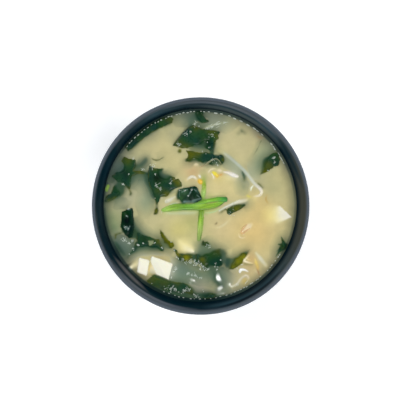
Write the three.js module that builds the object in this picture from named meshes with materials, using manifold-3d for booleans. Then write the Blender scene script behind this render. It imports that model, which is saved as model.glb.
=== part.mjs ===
// Miso soup with tofu, wakame, spring onion and bean sprouts in a black bowl.
// Millimetres, +Z up. The origin is the middle of the foot ring's underside, so the bowl stands on Z = 0.
// Heights in the garnish lists are measured from the level of the broth, upwards.

import * as THREE from 'three';
import { RoundedBoxGeometry } from 'three/addons/geometries/RoundedBoxGeometry.js';
import { mergeVertices } from 'three/addons/utils/BufferGeometryUtils.js';
import Module from 'manifold-3d';

// Driving dimensions of the bowl
const RIM_RADIUS = 60;
const BOWL_HEIGHT = 64;
const LIP_WIDTH = 1.8;
const FOOT_RADIUS = 29;
const FOOT_WIDTH = 3;
const FOOT_RECESS = 5.5;
const FLOOR_INSIDE = 9;
const FLOOR_OUTSIDE = 3;
const OUTER_FLARE = 4;
const INNER_FLARE = 5.4;
const FLARE_REACH = 0.28;
const BELLY_POWER = 2.2;

// Driving dimensions of what is in it
const BROTH_BELOW_RIM = 8.5;
const WAKAME_THICKNESS = 0.8;
const GAP = 0.3;
const GAP_BELOW = 0.5;
const MITRE_LIMIT = 0.6;

// How finely the round things are divided
const ROUND_STEPS = 48;
const OUTER_STEPS = 9;
const INNER_STEPS = 11;
const LIP_STEPS = 4;

const LIP_RADIUS = LIP_WIDTH / 2;
const LIP_CENTRE = BOWL_HEIGHT - LIP_RADIUS;
const BROTH_LEVEL = BOWL_HEIGHT - BROTH_BELOW_RIM;
const ABOVE_BROTH = BROTH_LEVEL + 6;

const wasm = await Module();
wasm.setup();

const finish = (color, roughness) => () => new THREE.MeshStandardMaterial({ color, roughness, metalness: 0 });
const lacquer = finish(0x0c1013, 0.16);
const broth = finish(0xcabf86, 0.12);
const wakame = finish(0x1c3320, 0.3);
const tofu = finish(0xf0eddd, 0.5);
const onion = finish(0x76b235, 0.35);
const sprout = finish(0xd8d3b4, 0.35);
const bean = finish(0xdcbd45, 0.4);

const soup = new THREE.Group();

function place(name, geometry, material) {
  const mesh = new THREE.Mesh(geometry, material());
  mesh.name = name;
  soup.add(mesh);
}

// ---- Bowl ----------------------------------------------------------------

const outerWall = {
  top: LIP_CENTRE,
  floor: FLOOR_OUTSIDE,
  belly: RIM_RADIUS - OUTER_FLARE,
  flare: OUTER_FLARE,
};

const innerWall = {
  top: LIP_CENTRE,
  floor: FLOOR_INSIDE,
  belly: RIM_RADIUS - LIP_WIDTH - INNER_FLARE,
  flare: INNER_FLARE,
};

// The broth's own side, one gap inside the wall and above the floor.
const brothSide = { ...innerWall, floor: FLOOR_INSIDE + GAP, belly: innerWall.belly - GAP };

// A round belly that opens into a flared lip: radius at a depth from 0, the lip, to 1, the floor.
function wallPoint(wall, depth) {
  const belly = wall.belly * Math.sqrt(Math.max(0, 1 - depth ** BELLY_POWER));
  const flare = wall.flare * Math.max(0, 1 - depth / FLARE_REACH) ** 2;
  return new THREE.Vector2(belly + flare, wall.top - depth * (wall.top - wall.floor));
}

const depthOf = (wall, z) => (wall.top - z) / (wall.top - wall.floor);

// Points down a wall, closer together towards the floor, where the wall turns.
function wallPoints(wall, fromDepth, toDepth, steps) {
  const start = Math.asin(fromDepth);
  const end = Math.asin(toDepth);
  const points = [];
  for (let i = 0; i <= steps; i++) {
    points.push(wallPoint(wall, Math.sin(start + ((end - start) * i) / steps)));
  }
  return points;
}

// The depth at which a wall has narrowed to a radius, below the flare.
function depthAtRadius(wall, radius) {
  return (1 - (radius / wall.belly) ** 2) ** (1 / BELLY_POWER);
}

function lipPoints() {
  const points = [];
  for (let i = 1; i < LIP_STEPS; i++) {
    const angle = (Math.PI * i) / LIP_STEPS;
    const radius = RIM_RADIUS - LIP_RADIUS + LIP_RADIUS * Math.cos(angle);
    points.push(new THREE.Vector2(radius, LIP_CENTRE + LIP_RADIUS * Math.sin(angle)));
  }
  return points;
}

function turned(profile) {
  return new THREE.LatheGeometry(profile, ROUND_STEPS).rotateX(Math.PI / 2);
}

function bowlGeometry() {
  const footInside = FOOT_RADIUS - FOOT_WIDTH;
  const foot = [
    new THREE.Vector2(0, FOOT_RECESS),
    new THREE.Vector2(footInside - 1, FOOT_RECESS),
    new THREE.Vector2(footInside, 0),
    new THREE.Vector2(FOOT_RADIUS, 0),
  ];
  const outside = wallPoints(outerWall, 0, depthAtRadius(outerWall, FOOT_RADIUS - 0.6), OUTER_STEPS).reverse();
  const inside = wallPoints(innerWall, 0, 1, INNER_STEPS);
  return turned([...foot, ...outside, ...lipPoints(), ...inside]);
}

// ---- Solids that are cut -------------------------------------------------

function toSolid(geometry) {
  const bare = geometry.clone();
  bare.deleteAttribute('normal');
  bare.deleteAttribute('uv');
  const merged = mergeVertices(bare, 1e-4);
  const index = merged.index.array;
  const corners = [];
  for (let i = 0; i < index.length; i += 3) {
    const [a, b, c] = [index[i], index[i + 1], index[i + 2]];
    if (a !== b && b !== c && c !== a) corners.push(a, b, c);
  }
  const vertProperties = Float32Array.from(merged.attributes.position.array);
  return new wasm.Manifold(new wasm.Mesh({ numProp: 3, vertProperties, triVerts: Uint32Array.from(corners) }));
}

function toGeometry(solid) {
  const mesh = solid.getMesh();
  const geometry = new THREE.BufferGeometry();
  geometry.setAttribute('position', new THREE.BufferAttribute(mesh.vertProperties, 3));
  geometry.setIndex(new THREE.BufferAttribute(mesh.triVerts, 1));
  geometry.computeVertexNormals();
  return geometry;
}

// Moves every corner of a geometry to where a rule says.
function reshape(geometry, rule) {
  const corners = geometry.attributes.position;
  const from = new THREE.Vector3();
  for (let i = 0; i < corners.count; i++) {
    const to = rule(from.fromBufferAttribute(corners, i));
    corners.setXYZ(i, to.x, to.y, to.z);
  }
  geometry.computeVertexNormals();
  return geometry;
}

// ---- Wakame --------------------------------------------------------------

const FEW_POINTS = 11;

// A closed curve through hand-placed points. A leaf with few of them gets one more between each two.
function leafOutline(points) {
  const tips = points.map(([x, y]) => new THREE.Vector3(x, y, 0));
  const edge = new THREE.CatmullRomCurve3(tips, true, 'centripetal');
  const count = points.length < FEW_POINTS ? points.length * 2 : points.length;
  const outline = [];
  for (let i = 0; i < count; i++) {
    const { x, y } = edge.getPoint(i / count);
    outline.push(new THREE.Vector2(x, y));
  }
  return THREE.ShapeUtils.isClockWise(outline) ? outline.reverse() : outline;
}

// Every outline point moved outwards, far enough at a corner to clear both of its edges.
function grown(outline, by) {
  const count = outline.length;
  return outline.map((point, i) => {
    const before = point.clone().sub(outline[(i + count - 1) % count]).normalize();
    const after = outline[(i + 1) % count].clone().sub(point).normalize();
    const along = before.clone().add(after).normalize();
    const reach = by / Math.max(MITRE_LIMIT, along.dot(after));
    return new THREE.Vector2(point.x + along.y * reach, point.y - along.x * reach);
  });
}

function middleOf(outline) {
  const sum = outline.reduce((total, point) => total.add(point), new THREE.Vector2());
  return sum.divideScalar(outline.length);
}

// The height of a leaf's middle surface: it leans, and it ruffles along the longer way.
function leafSurface(leaf, outline) {
  const middle = middleOf(outline);
  const [leanX, leanY] = leaf.lean ?? [0, 0];
  const ruffle = leaf.ruffle ?? 0.25;
  const wave = leaf.wave ?? 6;
  return (x, y) => {
    const leaning = leanX * (x - middle.x) + leanY * (y - middle.y);
    const rippling = ruffle * Math.sin(((x + 0.6 * y) * 2 * Math.PI) / wave);
    return BROTH_LEVEL + leaf.rise + leaning + rippling;
  };
}

// A sheet inside an outline, and round a hole, between two heights, its edges moved outwards by a spare width.
function leafGeometry({ outline, hole = [] }, low, high, spare = 0) {
  const shape = new THREE.Shape(outline);
  if (hole.length) shape.holes.push(new THREE.Path(hole));
  const flat = new THREE.ExtrudeGeometry(shape, { depth: 1, steps: 1, bevelEnabled: false });
  const from = [...outline, ...hole];
  const to = [...grown(outline, spare), ...grown(hole, spare)];
  return reshape(flat, ({ x, y, z }) => {
    const distances = from.map((point) => Math.hypot(point.x - x, point.y - y));
    const edge = to[distances.indexOf(Math.min(...distances))];
    return new THREE.Vector3(edge.x, edge.y, z > 0.5 ? high(x, y) : low(x, y));
  });
}

const leaves = [
  { name: 'wakame_wall_upper_left', rise: 0.1, lean: [-0.03, 0.03],
    edge: [[-40.2, 30.1], [-41.7, 32.8], [-38.3, 36.7], [-33.7, 41], [-28.2, 44.9], [-22.2, 48.1], [-17.2, 49.7],
      [-14.9, 48.4], [-15.6, 46.2], [-21.8, 43.4], [-26.8, 41], [-31.2, 37.8], [-35, 34.4], [-38.2, 31.6]] },
  { name: 'wakame_wall_top', rise: 0.2, lean: [0.1, 0.04],
    edge: [[-3.6, 51.4], [0.2, 52.3], [1.8, 50.2], [3.2, 48.2], [4.9, 47], [3.2, 46.2], [-1.5, 46.7], [-4.2, 48.4]] },
  { name: 'wakame_top_large', rise: 0.35, lean: [-0.02, 0.06], ruffle: 0.4, wave: 8,
    edge: [[-15.2, 33.4], [-12.6, 36.8], [-9.6, 40.6], [-6, 43.6], [-3, 44.6], [-0.6, 43], [2.6, 42.3], [7, 41.8],
      [11.4, 41.1], [10.1, 39.3], [10.2, 37.4], [8.4, 35.4], [7.8, 32.8], [6.5, 30.4], [4.2, 31.2], [1.6, 32.8],
      [-1.6, 33.8], [-4.6, 32.6], [-7.4, 31.9], [-10, 31.9], [-12.2, 32.6]] },
  { name: 'wakame_top_lower', rise: 0.1, lean: [0.03, 0.06], ruffle: 0.35, wave: 9,
    edge: [[-7.8, 30.6], [-6.5, 28.6], [-7.4, 26.4], [-9.6, 24.6], [-5, 24.2], [0, 24.1], [4, 23.2], [8, 21.7],
      [12, 22.6], [13.5, 24.4], [13.4, 26.8], [12, 28], [8, 28.4], [4, 29.5], [0, 29.4], [-4, 30.3]] },
  { name: 'wakame_right', rise: -0.15, lean: [0.1, -0.03], ruffle: 0.3,
    edge: [[33.4, 16.9], [37, 18.4], [40, 20.2], [41.4, 21.6], [44, 22.2], [44.6, 25.4], [43.8, 29], [42.4, 29.6],
      [39.4, 28.4], [36, 27.6], [34.8, 24.6], [33.6, 20.6]] },
  { name: 'wakame_left', rise: 0.15, lean: [0.02, 0.02], ruffle: 0.35, wave: 9,
    edge: [[-42.4, 27.2], [-39.6, 25.9], [-36.2, 25.4], [-36.2, 22.4], [-37.3, 19.2], [-35, 19.2], [-32.6, 19],
      [-30, 17.8], [-32.6, 17.5], [-35.4, 17.7], [-38.2, 16.2], [-39, 13], [-39.1, 9], [-40.6, 10.2],
      [-43, 11.6], [-46, 13.3], [-49.4, 16.1], [-46.6, 18.4], [-43.6, 20.6], [-42.8, 22.8], [-44.1, 24.8]] },
  { name: 'wakame_wall_left', rise: -0.35, lean: [0, -0.16],
    edge: [[-53, 2], [-49.6, 3], [-46.4, 4.6], [-44.2, 7.2], [-44.6, 10], [-46.2, 12], [-48.6, 10.2], [-49.8, 7],
      [-52.6, 5.2]] },
  { name: 'wakame_centre_left', rise: 0.25, lean: [0.02, 0.01], ruffle: 0.4, wave: 11,
    edge: [[-28.4, 22.3], [-25, 20.5], [-20.1, 20.7], [-20.6, 18.4], [-18.6, 17.2], [-15.6, 16.2], [-14, 15.2],
      [-14.9, 13.8], [-12.1, 15], [-10.6, 12.8], [-10.1, 10.5], [-13.8, 9.6], [-16.2, 6.8], [-19, 4.7],
      [-22, 4.6], [-23.4, 1.6], [-23.6, -3], [-25.4, -5.4], [-25, 0], [-25.2, 4], [-27, 8.4], [-28.8, 13],
      [-29, 17.6]] },
  { name: 'wakame_sweep', rise: 0.1, lean: [0.01, 0.05], ruffle: 0.3, wave: 9,
    hole: [[-29.4, -19.5], [-26.2, -19.6], [-25.9, -21.6], [-28.2, -22.8]],
    edge: [[-34.9, -15.4], [-31, -16.8], [-27.6, -17.9], [-25.2, -19.2], [-23, -19], [-21.8, -21.6], [-20, -24.6],
      [-20.6, -26], [-24, -24.7], [-28, -24.3], [-31, -24.6], [-35.4, -24.6], [-36.2, -22], [-34.8, -20.2],
      [-35.4, -18.2]] },
  { name: 'wakame_olive_middle', rise: -0.45, lean: [0.06, 0.03], ruffle: 0.2,
    edge: [[-22.5, -13.2], [-20.4, -16.6], [-18.6, -19.3], [-15.2, -20.8], [-14.4, -22.6], [-15.8, -24],
      [-18.6, -23.4], [-20.6, -20.2], [-22, -17]] },
  { name: 'wakame_under_tofu', rise: 0.1, lean: [0, -0.04], ruffle: 0.2,
    edge: [[-14.8, -24.4], [-12.9, -25.4], [-12.2, -27.6], [-9.9, -28.2], [-8, -28], [-4.2, -28], [-4.4, -29.8],
      [-7.2, -31.3], [-9.4, -30.4], [-12.6, -28.9], [-13.6, -26.8]] },
  { name: 'wakame_bottom_middle', rise: -0.1, lean: [-0.02, 0.04], ruffle: 0.4, wave: 10,
    edge: [[-2.4, -27.4], [0, -27.2], [3.4, -26.4], [7.4, -24.8], [11, -24.2], [14, -24.4], [15.6, -27.2],
      [15, -30], [12.6, -33.6], [10, -36], [7.6, -34.4], [4.6, -37.6], [1.6, -35.6], [-0.8, -32.4], [-2.4, -29.8]] },
  { name: 'wakame_olive_right', rise: -0.1, lean: [0.03, -0.08], ruffle: 0.25,
    edge: [[28, -24.6], [26.4, -27.8], [24.6, -30.2], [23.7, -32.4], [21.4, -34.2], [18.6, -35.8], [15.8, -35.8],
      [16.2, -33], [17.6, -30], [20.4, -28.4], [24, -26.6]] },
  { name: 'wakame_bottom_left', rise: 0.15, lean: [0.01, -0.04], ruffle: 0.3, wave: 9,
    edge: [[-29.6, -42.2], [-27.6, -40.2], [-25.6, -39.8], [-24, -40.8], [-20, -42.2], [-17.4, -43], [-12, -43],
      [-7.4, -44], [-5.2, -46.4], [-3.6, -48.8], [-2, -50], [-4.6, -49.8], [-8, -48.6], [-13, -48.4],
      [-18, -47.6], [-23, -46], [-27, -44.2]] },
  { name: 'wakame_wall_bottom', rise: 0.15, lean: [0, -0.05], ruffle: 0.15,
    edge: [[1.6, -51.2], [2.6, -50], [6, -49.4], [8.4, -49.6], [8.2, -51.4], [5, -52.2], [2.6, -52.2]] },
  { name: 'wakame_beside_onion', rise: 0.15, lean: [0.03, -0.02], ruffle: 0.25,
    edge: [[14.7, -3.2], [16.1, -5.4], [18.6, -4.2], [22, -2.6], [25.3, 0], [24.6, 0.7], [22, 0.4], [19.2, -0.4],
      [17.2, -1.2], [15.4, -1.9]] },
  { name: 'wakame_wall_right', rise: -0.1, lean: [0.08, 0], ruffle: 0.2,
    edge: [[45.6, -18.8], [47.2, -20.4], [47.6, -22.6], [46.6, -24], [44.4, -25], [42.2, -26.6], [43.4, -24.6],
      [45.2, -22.6], [45.8, -21]] },
  { name: 'wakame_onion_foot', rise: 0.1, lean: [0, 0], ruffle: 0.2,
    edge: [[1.6, -19.6], [2.6, -20.8], [4, -20.2], [5.4, -21.8], [5.2, -23], [3.6, -23.2], [2, -22.6], [0.8, -22.3]] },
];

// ---- Wakame that is crumpled into a lump ---------------------------------

const LUMP_POINTS = 14;
const LUMP_RINGS = [[0.86, 0.55], [0.55, 1]];

// A lump's top or underside: rings that climb towards the middle, with creases running outwards.
function lumpHeight(lump, share, angle, side) {
  const crease = 1 + 0.28 * Math.sin(lump.creases * angle + side);
  return BROTH_LEVEL + (side > 0 ? lump.up : -lump.down) * share * crease;
}

function lumpGeometry(lump, outline, spare) {
  const middle = middleOf(outline);
  const count = outline.length;
  const corners = outline.flatMap(({ x, y }) => [x, y, BROTH_LEVEL]);
  const faces = [];
  for (const side of [1, -1]) {
    let ring = 0;
    for (const [scale, share] of LUMP_RINGS) {
      const next = corners.length / 3;
      outline.forEach(({ x, y }) => {
        const angle = Math.atan2(y - middle.y, x - middle.x);
        const z = lumpHeight(lump, share, angle, side) + side * spare;
        corners.push(middle.x + (x - middle.x) * scale, middle.y + (y - middle.y) * scale, z);
      });
      for (let i = 0; i < count; i++) {
        const j = (i + 1) % count;
        const quad = [ring + i, ring + j, next + j, ring + i, next + j, next + i];
        faces.push(...(side > 0 ? quad : quad.reverse()));
      }
      ring = next;
    }
    const tip = corners.length / 3;
    corners.push(middle.x, middle.y, lumpHeight(lump, 0.9, 0, side) + side * spare);
    for (let i = 0; i < count; i++) {
      const fan = [ring + i, ring + ((i + 1) % count), tip];
      faces.push(...(side > 0 ? fan : fan.reverse()));
    }
  }
  const geometry = new THREE.BufferGeometry();
  geometry.setAttribute('position', new THREE.Float32BufferAttribute(corners, 3));
  geometry.setIndex(faces);
  geometry.computeVertexNormals();
  return geometry;
}

// An even ring of points round a closed curve through the hand-placed ones.
function lumpOutline(points) {
  const edge = new THREE.CatmullRomCurve3(points.map(([x, y]) => new THREE.Vector3(x, y, 0)), true, 'centripetal');
  const outline = edge.getSpacedPoints(LUMP_POINTS).slice(0, LUMP_POINTS).map(({ x, y }) => new THREE.Vector2(x, y));
  return THREE.ShapeUtils.isClockWise(outline) ? outline.reverse() : outline;
}

const lumps = [
  { name: 'wakame_crumpled_middle', up: 1.7, down: 1.2, creases: 5,
    edge: [[-12.6, 5.4], [-11.2, 8.6], [-8, 9.8], [-2.6, 10.9], [-0.6, 8], [0.3, 4.4], [-1.6, 3.2], [-5, 3.2],
      [-8.4, 2.8], [-11.4, 2.8]] },
  { name: 'wakame_crumpled_left', up: 1.9, down: 1.4, creases: 4,
    edge: [[-38.2, -1.4], [-37.9, -5], [-37.6, -9], [-36.7, -12], [-37, -16.6], [-39.2, -18.9], [-42, -16.4],
      [-44.6, -12.4], [-43.9, -7.6], [-43.3, -3.6]] },
];

// ---- Tofu ----------------------------------------------------------------

const TOFU_EDGE = 0.07;

// A soft block, bent from a unit box: four top corners [x, y, height] in turn, a depth, and how far the
// underside leans away.
function tofuGeometry({ corners, depth, lean = [0, 0] }, unit, spare = 0, below = 0, open = 0) {
  const [a, b, c, d] = corners.map((corner) => new THREE.Vector3(...corner));
  const side = a.distanceTo(b) + b.distanceTo(c);
  const swell = 1 + (4 * spare) / side;
  return reshape(unit, ({ x, y, z }) => {
    const across = x * swell + 0.5;
    const along = y * swell + 0.5;
    const near = a.clone().lerp(b, across);
    const far = d.clone().lerp(c, across);
    const top = near.lerp(far, along);
    const down = z > 0 ? (0.5 - z) * depth - open : (0.5 - z) * depth + below;
    return new THREE.Vector3(
      top.x + (lean[0] * down) / depth,
      top.y + (lean[1] * down) / depth,
      BROTH_LEVEL + top.z - down,
    );
  });
}

const blocks = [
  { name: 'tofu_left', depth: 8,
    corners: [[-35.2, -37.4, 0.7], [-29.9, -39.5, 0.5], [-28.3, -30.9, 0.9], [-34, -29.3, 0.8]] },
  { name: 'tofu_right', depth: 8.5,
    corners: [[-28.4, -37.9, -0.7], [-17.7, -41.4, 0.8], [-15.4, -32.8, 1.3], [-27, -28.6, 1]] },
  { name: 'tofu_corner_wall', depth: 3,
    corners: [[-39.4, -34.8, 0.1], [-36.2, -35.4, -0.5], [-36, -32.6, 0], [-38.2, -33, 0.4]] },
  { name: 'tofu_wall_right', depth: 8, lean: [-5.5, 1],
    corners: [[43.4, -10, -0.1], [49, -11.4, -1.2], [51, -6.5, 0.4], [44.7, -0.4, 0.8]] },
  { name: 'tofu_middle', depth: 7, lean: [-0.5, 0.5],
    corners: [[-11, -26.8, -1.5], [-3.2, -26.8, 0.3], [-5.4, -20, -1.6], [-12.4, -17.6, -1.2]] },
];

// ---- Spring onion and bean sprouts ---------------------------------------

const STRAND_SIDES = 6;
const UP = new THREE.Vector3(0, 0, 1);

// A strand along a curve, its width kept level: ends taper to a share of the full section.
function strandGeometry({ path, width, thick = width, steps = 7, ends = 0.75 }, spare = 0) {
  const route = new THREE.CatmullRomCurve3(path.map(([x, y, z]) => new THREE.Vector3(x, y, BROTH_LEVEL + z)));
  const section = [];
  for (let i = 0; i < STRAND_SIDES; i++) {
    const angle = (2 * Math.PI * i) / STRAND_SIDES;
    section.push(new THREE.Vector2(Math.cos(angle), Math.sin(angle)));
  }
  const straight = new THREE.ExtrudeGeometry(new THREE.Shape(section), { depth: 1, steps, bevelEnabled: false });
  return reshape(straight, ({ x, y, z }) => {
    const share = ends + (1 - ends) * Math.sin(Math.PI * z) ** 0.5;
    const tangent = route.getTangentAt(z);
    const side = UP.clone().cross(tangent).normalize();
    const lift = tangent.clone().cross(side);
    const centre = route.getPointAt(z).addScaledVector(tangent, (2 * z - 1) * spare);
    return centre
      .addScaledVector(side, x * ((width / 2) * share + spare))
      .addScaledVector(lift, y * ((thick / 2) * share + spare));
  });
}

const strands = [
  { name: 'onion_leaf_across', skin: onion, width: 4.4, thick: 1.8, steps: 9, ends: 0.5,
    path: [[-21.8, -2.8, 0.2], [-16, -1.7, 0.6], [-9, -0.8, 0.8], [0, -0.3, 0.9], [8, 1.5, 0.8], [15.2, 3.1, 0.4]] },
  { name: 'onion_leaf_down', skin: onion, width: 2.6, thick: 1.3, steps: 9, ends: 0.6,
    path: [[2.2, 18.4, -2.6], [2.4, 11, -0.9], [2.5, 6, -1.5], [1.6, 0, -1.9], [0.9, -6, -0.9], [0.5, -12, 0.1],
      [-0.4, -20.4, 0.1]] },
  { name: 'onion_piece_wall', skin: onion, width: 1.6, thick: 1, steps: 3, ends: 0.6,
    path: [[-52.2, 8, -0.1], [-51.7, 9.5, 0.1], [-50.9, 11.3, -0.1]] },
  { name: 'sprout_long', skin: sprout, width: 1.7, steps: 11, ends: 0.6,
    path: [[8.8, 31.3, -1.3], [14.7, 28.5, -0.6], [20, 23.7, -0.5], [26, 18, -0.5], [30.7, 11.3, -0.4],
      [34.4, 8, 0.1], [33.8, 6, 0.1], [30.3, 5.2, -0.1]] },
  { name: 'sprout_short', skin: sprout, width: 1.2, steps: 3,
    path: [[29.3, 10.8, -0.2], [28.8, 9.4, 0], [28.5, 7.8, -0.2]] },
  { name: 'sprout_head', skin: sprout, width: 2.1, thick: 1.9, steps: 6, ends: 0.4,
    path: [[13.4, 18.3, -0.6], [17.4, 17.4, 0], [21.8, 16, -0.2]] },
  { name: 'sprout_middle_left', skin: sprout, width: 1.5, steps: 6,
    path: [[-8, 13.6, -1], [-5, 15.8, -0.2], [-2.6, 15.4, -0.3], [-1.9, 14.2, -0.6]] },
  { name: 'sprout_left', skin: sprout, width: 1.6, steps: 4,
    path: [[-19.6, 1.4, -0.2], [-17.4, 2.4, -0.1], [-14, 3, -0.7]] },
  { name: 'sprout_right_of_onion', skin: sprout, width: 1.3, steps: 6,
    path: [[11, -2.6, -0.5], [14, -0.9, -0.2], [17, 0.6, -0.2], [20, 1.8, -0.1], [26.4, 2.9, -0.5]] },
  { name: 'sprout_lower_right', skin: sprout, width: 1.5, steps: 5,
    path: [[31, -26.4, -0.6], [33.2, -29.2, -0.3], [36.8, -33.4, -0.5]] },
  { name: 'sprout_loop', skin: sprout, width: 1.3, steps: 8,
    path: [[17, -45.8, -0.6], [20.4, -44, -0.4], [23, -41, -0.3], [25.4, -39.4, 0], [27, -40.4, -0.2],
      [26.6, -42.4, -0.7]] },
  { name: 'sprout_hook', skin: sprout, width: 1.1, steps: 5,
    path: [[22.3, -38.2, -0.1], [22.9, -36.4, 0.2], [24.8, -36.2, 0.1], [26.9, -37.2, -0.2]] },
  { name: 'bean_yellow_top', skin: bean, width: 2.3, thick: 1.4, steps: 4, ends: 0.4,
    path: [[6.9, 18.7, -0.3], [8.8, 17.7, 0.1], [9.8, 15.6, -0.2]] },
  { name: 'bean_yellow_middle', skin: bean, width: 2.3, thick: 1.7, steps: 4, ends: 0.4,
    path: [[-0.9, 13.7, -0.5], [-0.4, 12.6, -0.2], [0, 11.3, -0.5]] },
  { name: 'bean_yellow_right', skin: bean, width: 1.7, steps: 4, ends: 0.5,
    path: [[31.4, -30.8, -0.4], [31.6, -32.6, -0.2], [32, -34.4, -0.5]] },
  { name: 'bean_pale_right', skin: sprout, width: 3, thick: 2, steps: 5, ends: 0.4,
    path: [[29.2, -10.8, -0.8], [26.6, -12.8, -0.3], [23.6, -15.4, -0.6]] },
];

// ---- Everything in its place ---------------------------------------------

const pockets = [];

function addLeaf(leaf) {
  const edges = { outline: leafOutline(leaf.edge), hole: leaf.hole?.map(([x, y]) => new THREE.Vector2(x, y)) };
  const middle = leafSurface(leaf, edges.outline);
  const under = (x, y) => middle(x, y) - WAKAME_THICKNESS / 2;
  const over = (x, y) => middle(x, y) + WAKAME_THICKNESS / 2;
  place(leaf.name, leafGeometry(edges, under, over), wakame);
  pockets.push(toSolid(leafGeometry(edges, (x, y) => under(x, y) - GAP_BELOW, () => ABOVE_BROTH, GAP)));
}

function addLump(lump) {
  const outline = lumpOutline(lump.edge);
  place(lump.name, lumpGeometry(lump, outline, 0), wakame);
  pockets.push(toSolid(lumpGeometry(lump, grown(outline, GAP * 1.3), GAP)));
}

function addBlock(block) {
  place(block.name, tofuGeometry(block, new RoundedBoxGeometry(1, 1, 1, 1, TOFU_EDGE)), tofu);
  pockets.push(toSolid(tofuGeometry(block, new THREE.BoxGeometry(), GAP, GAP_BELOW, ABOVE_BROTH - BROTH_LEVEL)));
}

function addStrand(strand) {
  place(strand.name, strandGeometry(strand), strand.skin);
  pockets.push(toSolid(strandGeometry(strand, GAP)));
}

function brothGeometry() {
  const side = wallPoints(brothSide, depthOf(brothSide, BROTH_LEVEL), 1, INNER_STEPS - 2);
  const profile = [new THREE.Vector2(0, BROTH_LEVEL), ...side].reverse();
  return pockets.reduce((solid, pocket) => solid.subtract(pocket), toSolid(turned(profile)));
}

place('bowl', bowlGeometry(), lacquer);
leaves.forEach(addLeaf);
lumps.forEach(addLump);
blocks.forEach(addBlock);
strands.forEach(addStrand);
place('broth', toGeometry(brothGeometry()), broth);

export default soup;
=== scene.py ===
# %% [markdown]
# # Miso soup in a black bowl
# A bowl of miso soup is three things at once: a lacquered shell, a cloudy liquid, and a dozen kinds of
# small wet pieces that float in it or hang just under its surface. The cloudy liquid is the hard one.
# Whatever sinks in it doesn't vanish: it turns paler, bluer and more blurred with every millimetre.
# This lesson builds the real pieces first and then works out, from their depth, how the broth hides them.

# %% Load the frame
import math
import random

import bmesh
import bpy
import numpy as np
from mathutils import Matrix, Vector, noise
from mathutils.bvhtree import BVHTree
from mathutils.geometry import delaunay_2d_cdt
from mathutils.kdtree import KDTree


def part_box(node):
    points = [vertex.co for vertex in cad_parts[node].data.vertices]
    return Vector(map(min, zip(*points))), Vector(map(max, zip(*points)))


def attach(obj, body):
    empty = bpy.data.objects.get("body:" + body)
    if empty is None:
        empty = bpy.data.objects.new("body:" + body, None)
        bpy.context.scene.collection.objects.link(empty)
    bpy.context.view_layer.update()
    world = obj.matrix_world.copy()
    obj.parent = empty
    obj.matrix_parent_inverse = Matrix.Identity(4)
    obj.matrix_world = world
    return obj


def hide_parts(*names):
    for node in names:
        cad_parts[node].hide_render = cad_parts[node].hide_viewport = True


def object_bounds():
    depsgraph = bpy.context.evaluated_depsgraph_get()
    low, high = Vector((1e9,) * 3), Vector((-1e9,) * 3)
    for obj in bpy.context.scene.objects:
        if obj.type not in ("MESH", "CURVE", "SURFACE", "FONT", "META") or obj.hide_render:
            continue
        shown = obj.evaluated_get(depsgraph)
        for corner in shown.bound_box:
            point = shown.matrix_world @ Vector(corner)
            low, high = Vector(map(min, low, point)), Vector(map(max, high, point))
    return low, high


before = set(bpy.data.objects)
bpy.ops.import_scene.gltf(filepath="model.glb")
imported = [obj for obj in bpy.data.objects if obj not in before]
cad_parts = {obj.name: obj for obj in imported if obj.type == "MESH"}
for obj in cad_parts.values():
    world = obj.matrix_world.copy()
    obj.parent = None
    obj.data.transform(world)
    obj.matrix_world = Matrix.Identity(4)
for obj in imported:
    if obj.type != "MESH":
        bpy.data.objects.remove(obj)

cad_low, cad_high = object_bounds()
print("The frame holds", len(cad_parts), "solids")

# %% [markdown]
# ## Measures
# All places below are in millimetres from the bowl's axis, because that is how a cook's ruler reads.
# The frame is in metres, so one factor turns the first into the second. The two heights that everything
# hangs on, the rim and the level of the broth, come from the frame's own boxes. Whatever is made, be it a
# lamp or a leaf, is put into the scene by one helper.

# %% Units and main heights
MM = 0.001
RIM_TOP = cad_high[2] / MM
RIM_RADIUS = cad_high[0] / MM
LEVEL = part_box("broth")[1][2] / MM
BROTH_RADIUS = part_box("broth")[1][0] / MM


def placed(name, data):
    """A new object, put into the scene."""
    made = bpy.data.objects.new(name, data)
    bpy.context.scene.collection.objects.link(made)
    return made


print(f"rim {RIM_RADIUS:.1f} wide at {RIM_TOP:.1f}, broth to {LEVEL:.1f}, radius {BROTH_RADIUS:.1f} mm")

# %% [markdown]
# ## Camera
# The bowl is looked at from straight above, from half a metre, a hand's breadth off its axis. The lens is
# shifted sideways instead of tilted, as on a copy stand, so every circle stays a true circle.

# %% Place the camera
CAMERA_AT = (-24, 28, RIM_TOP + 512)
PICTURE_MIDDLE = (-0.4, 3.35)
TABLE_WIDTH_SEEN = 220.2
camera = placed("camera", bpy.data.cameras.new("camera"))
camera.data.sensor_width = 36
camera.data.lens = camera.data.sensor_width * (CAMERA_AT[2] - RIM_TOP) / TABLE_WIDTH_SEEN
camera.data.shift_x = (PICTURE_MIDDLE[0] - CAMERA_AT[0]) / TABLE_WIDTH_SEEN
camera.data.shift_y = (PICTURE_MIDDLE[1] - CAMERA_AT[1]) / TABLE_WIDTH_SEEN
camera.location = Vector(CAMERA_AT) * MM
bpy.context.scene.camera = camera
print(f"lens {camera.data.lens:.1f} mm")

# %% [markdown]
# ## Light
# Wet food looks dull under light from straight above, because the flat liquid mirrors it over everything.
# So the room is pale at the horizon and dim overhead, and soft lamps stand to the sides. Only what slopes,
# such as the rim, a bubble or a leaf's fold, catches them.

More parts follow.
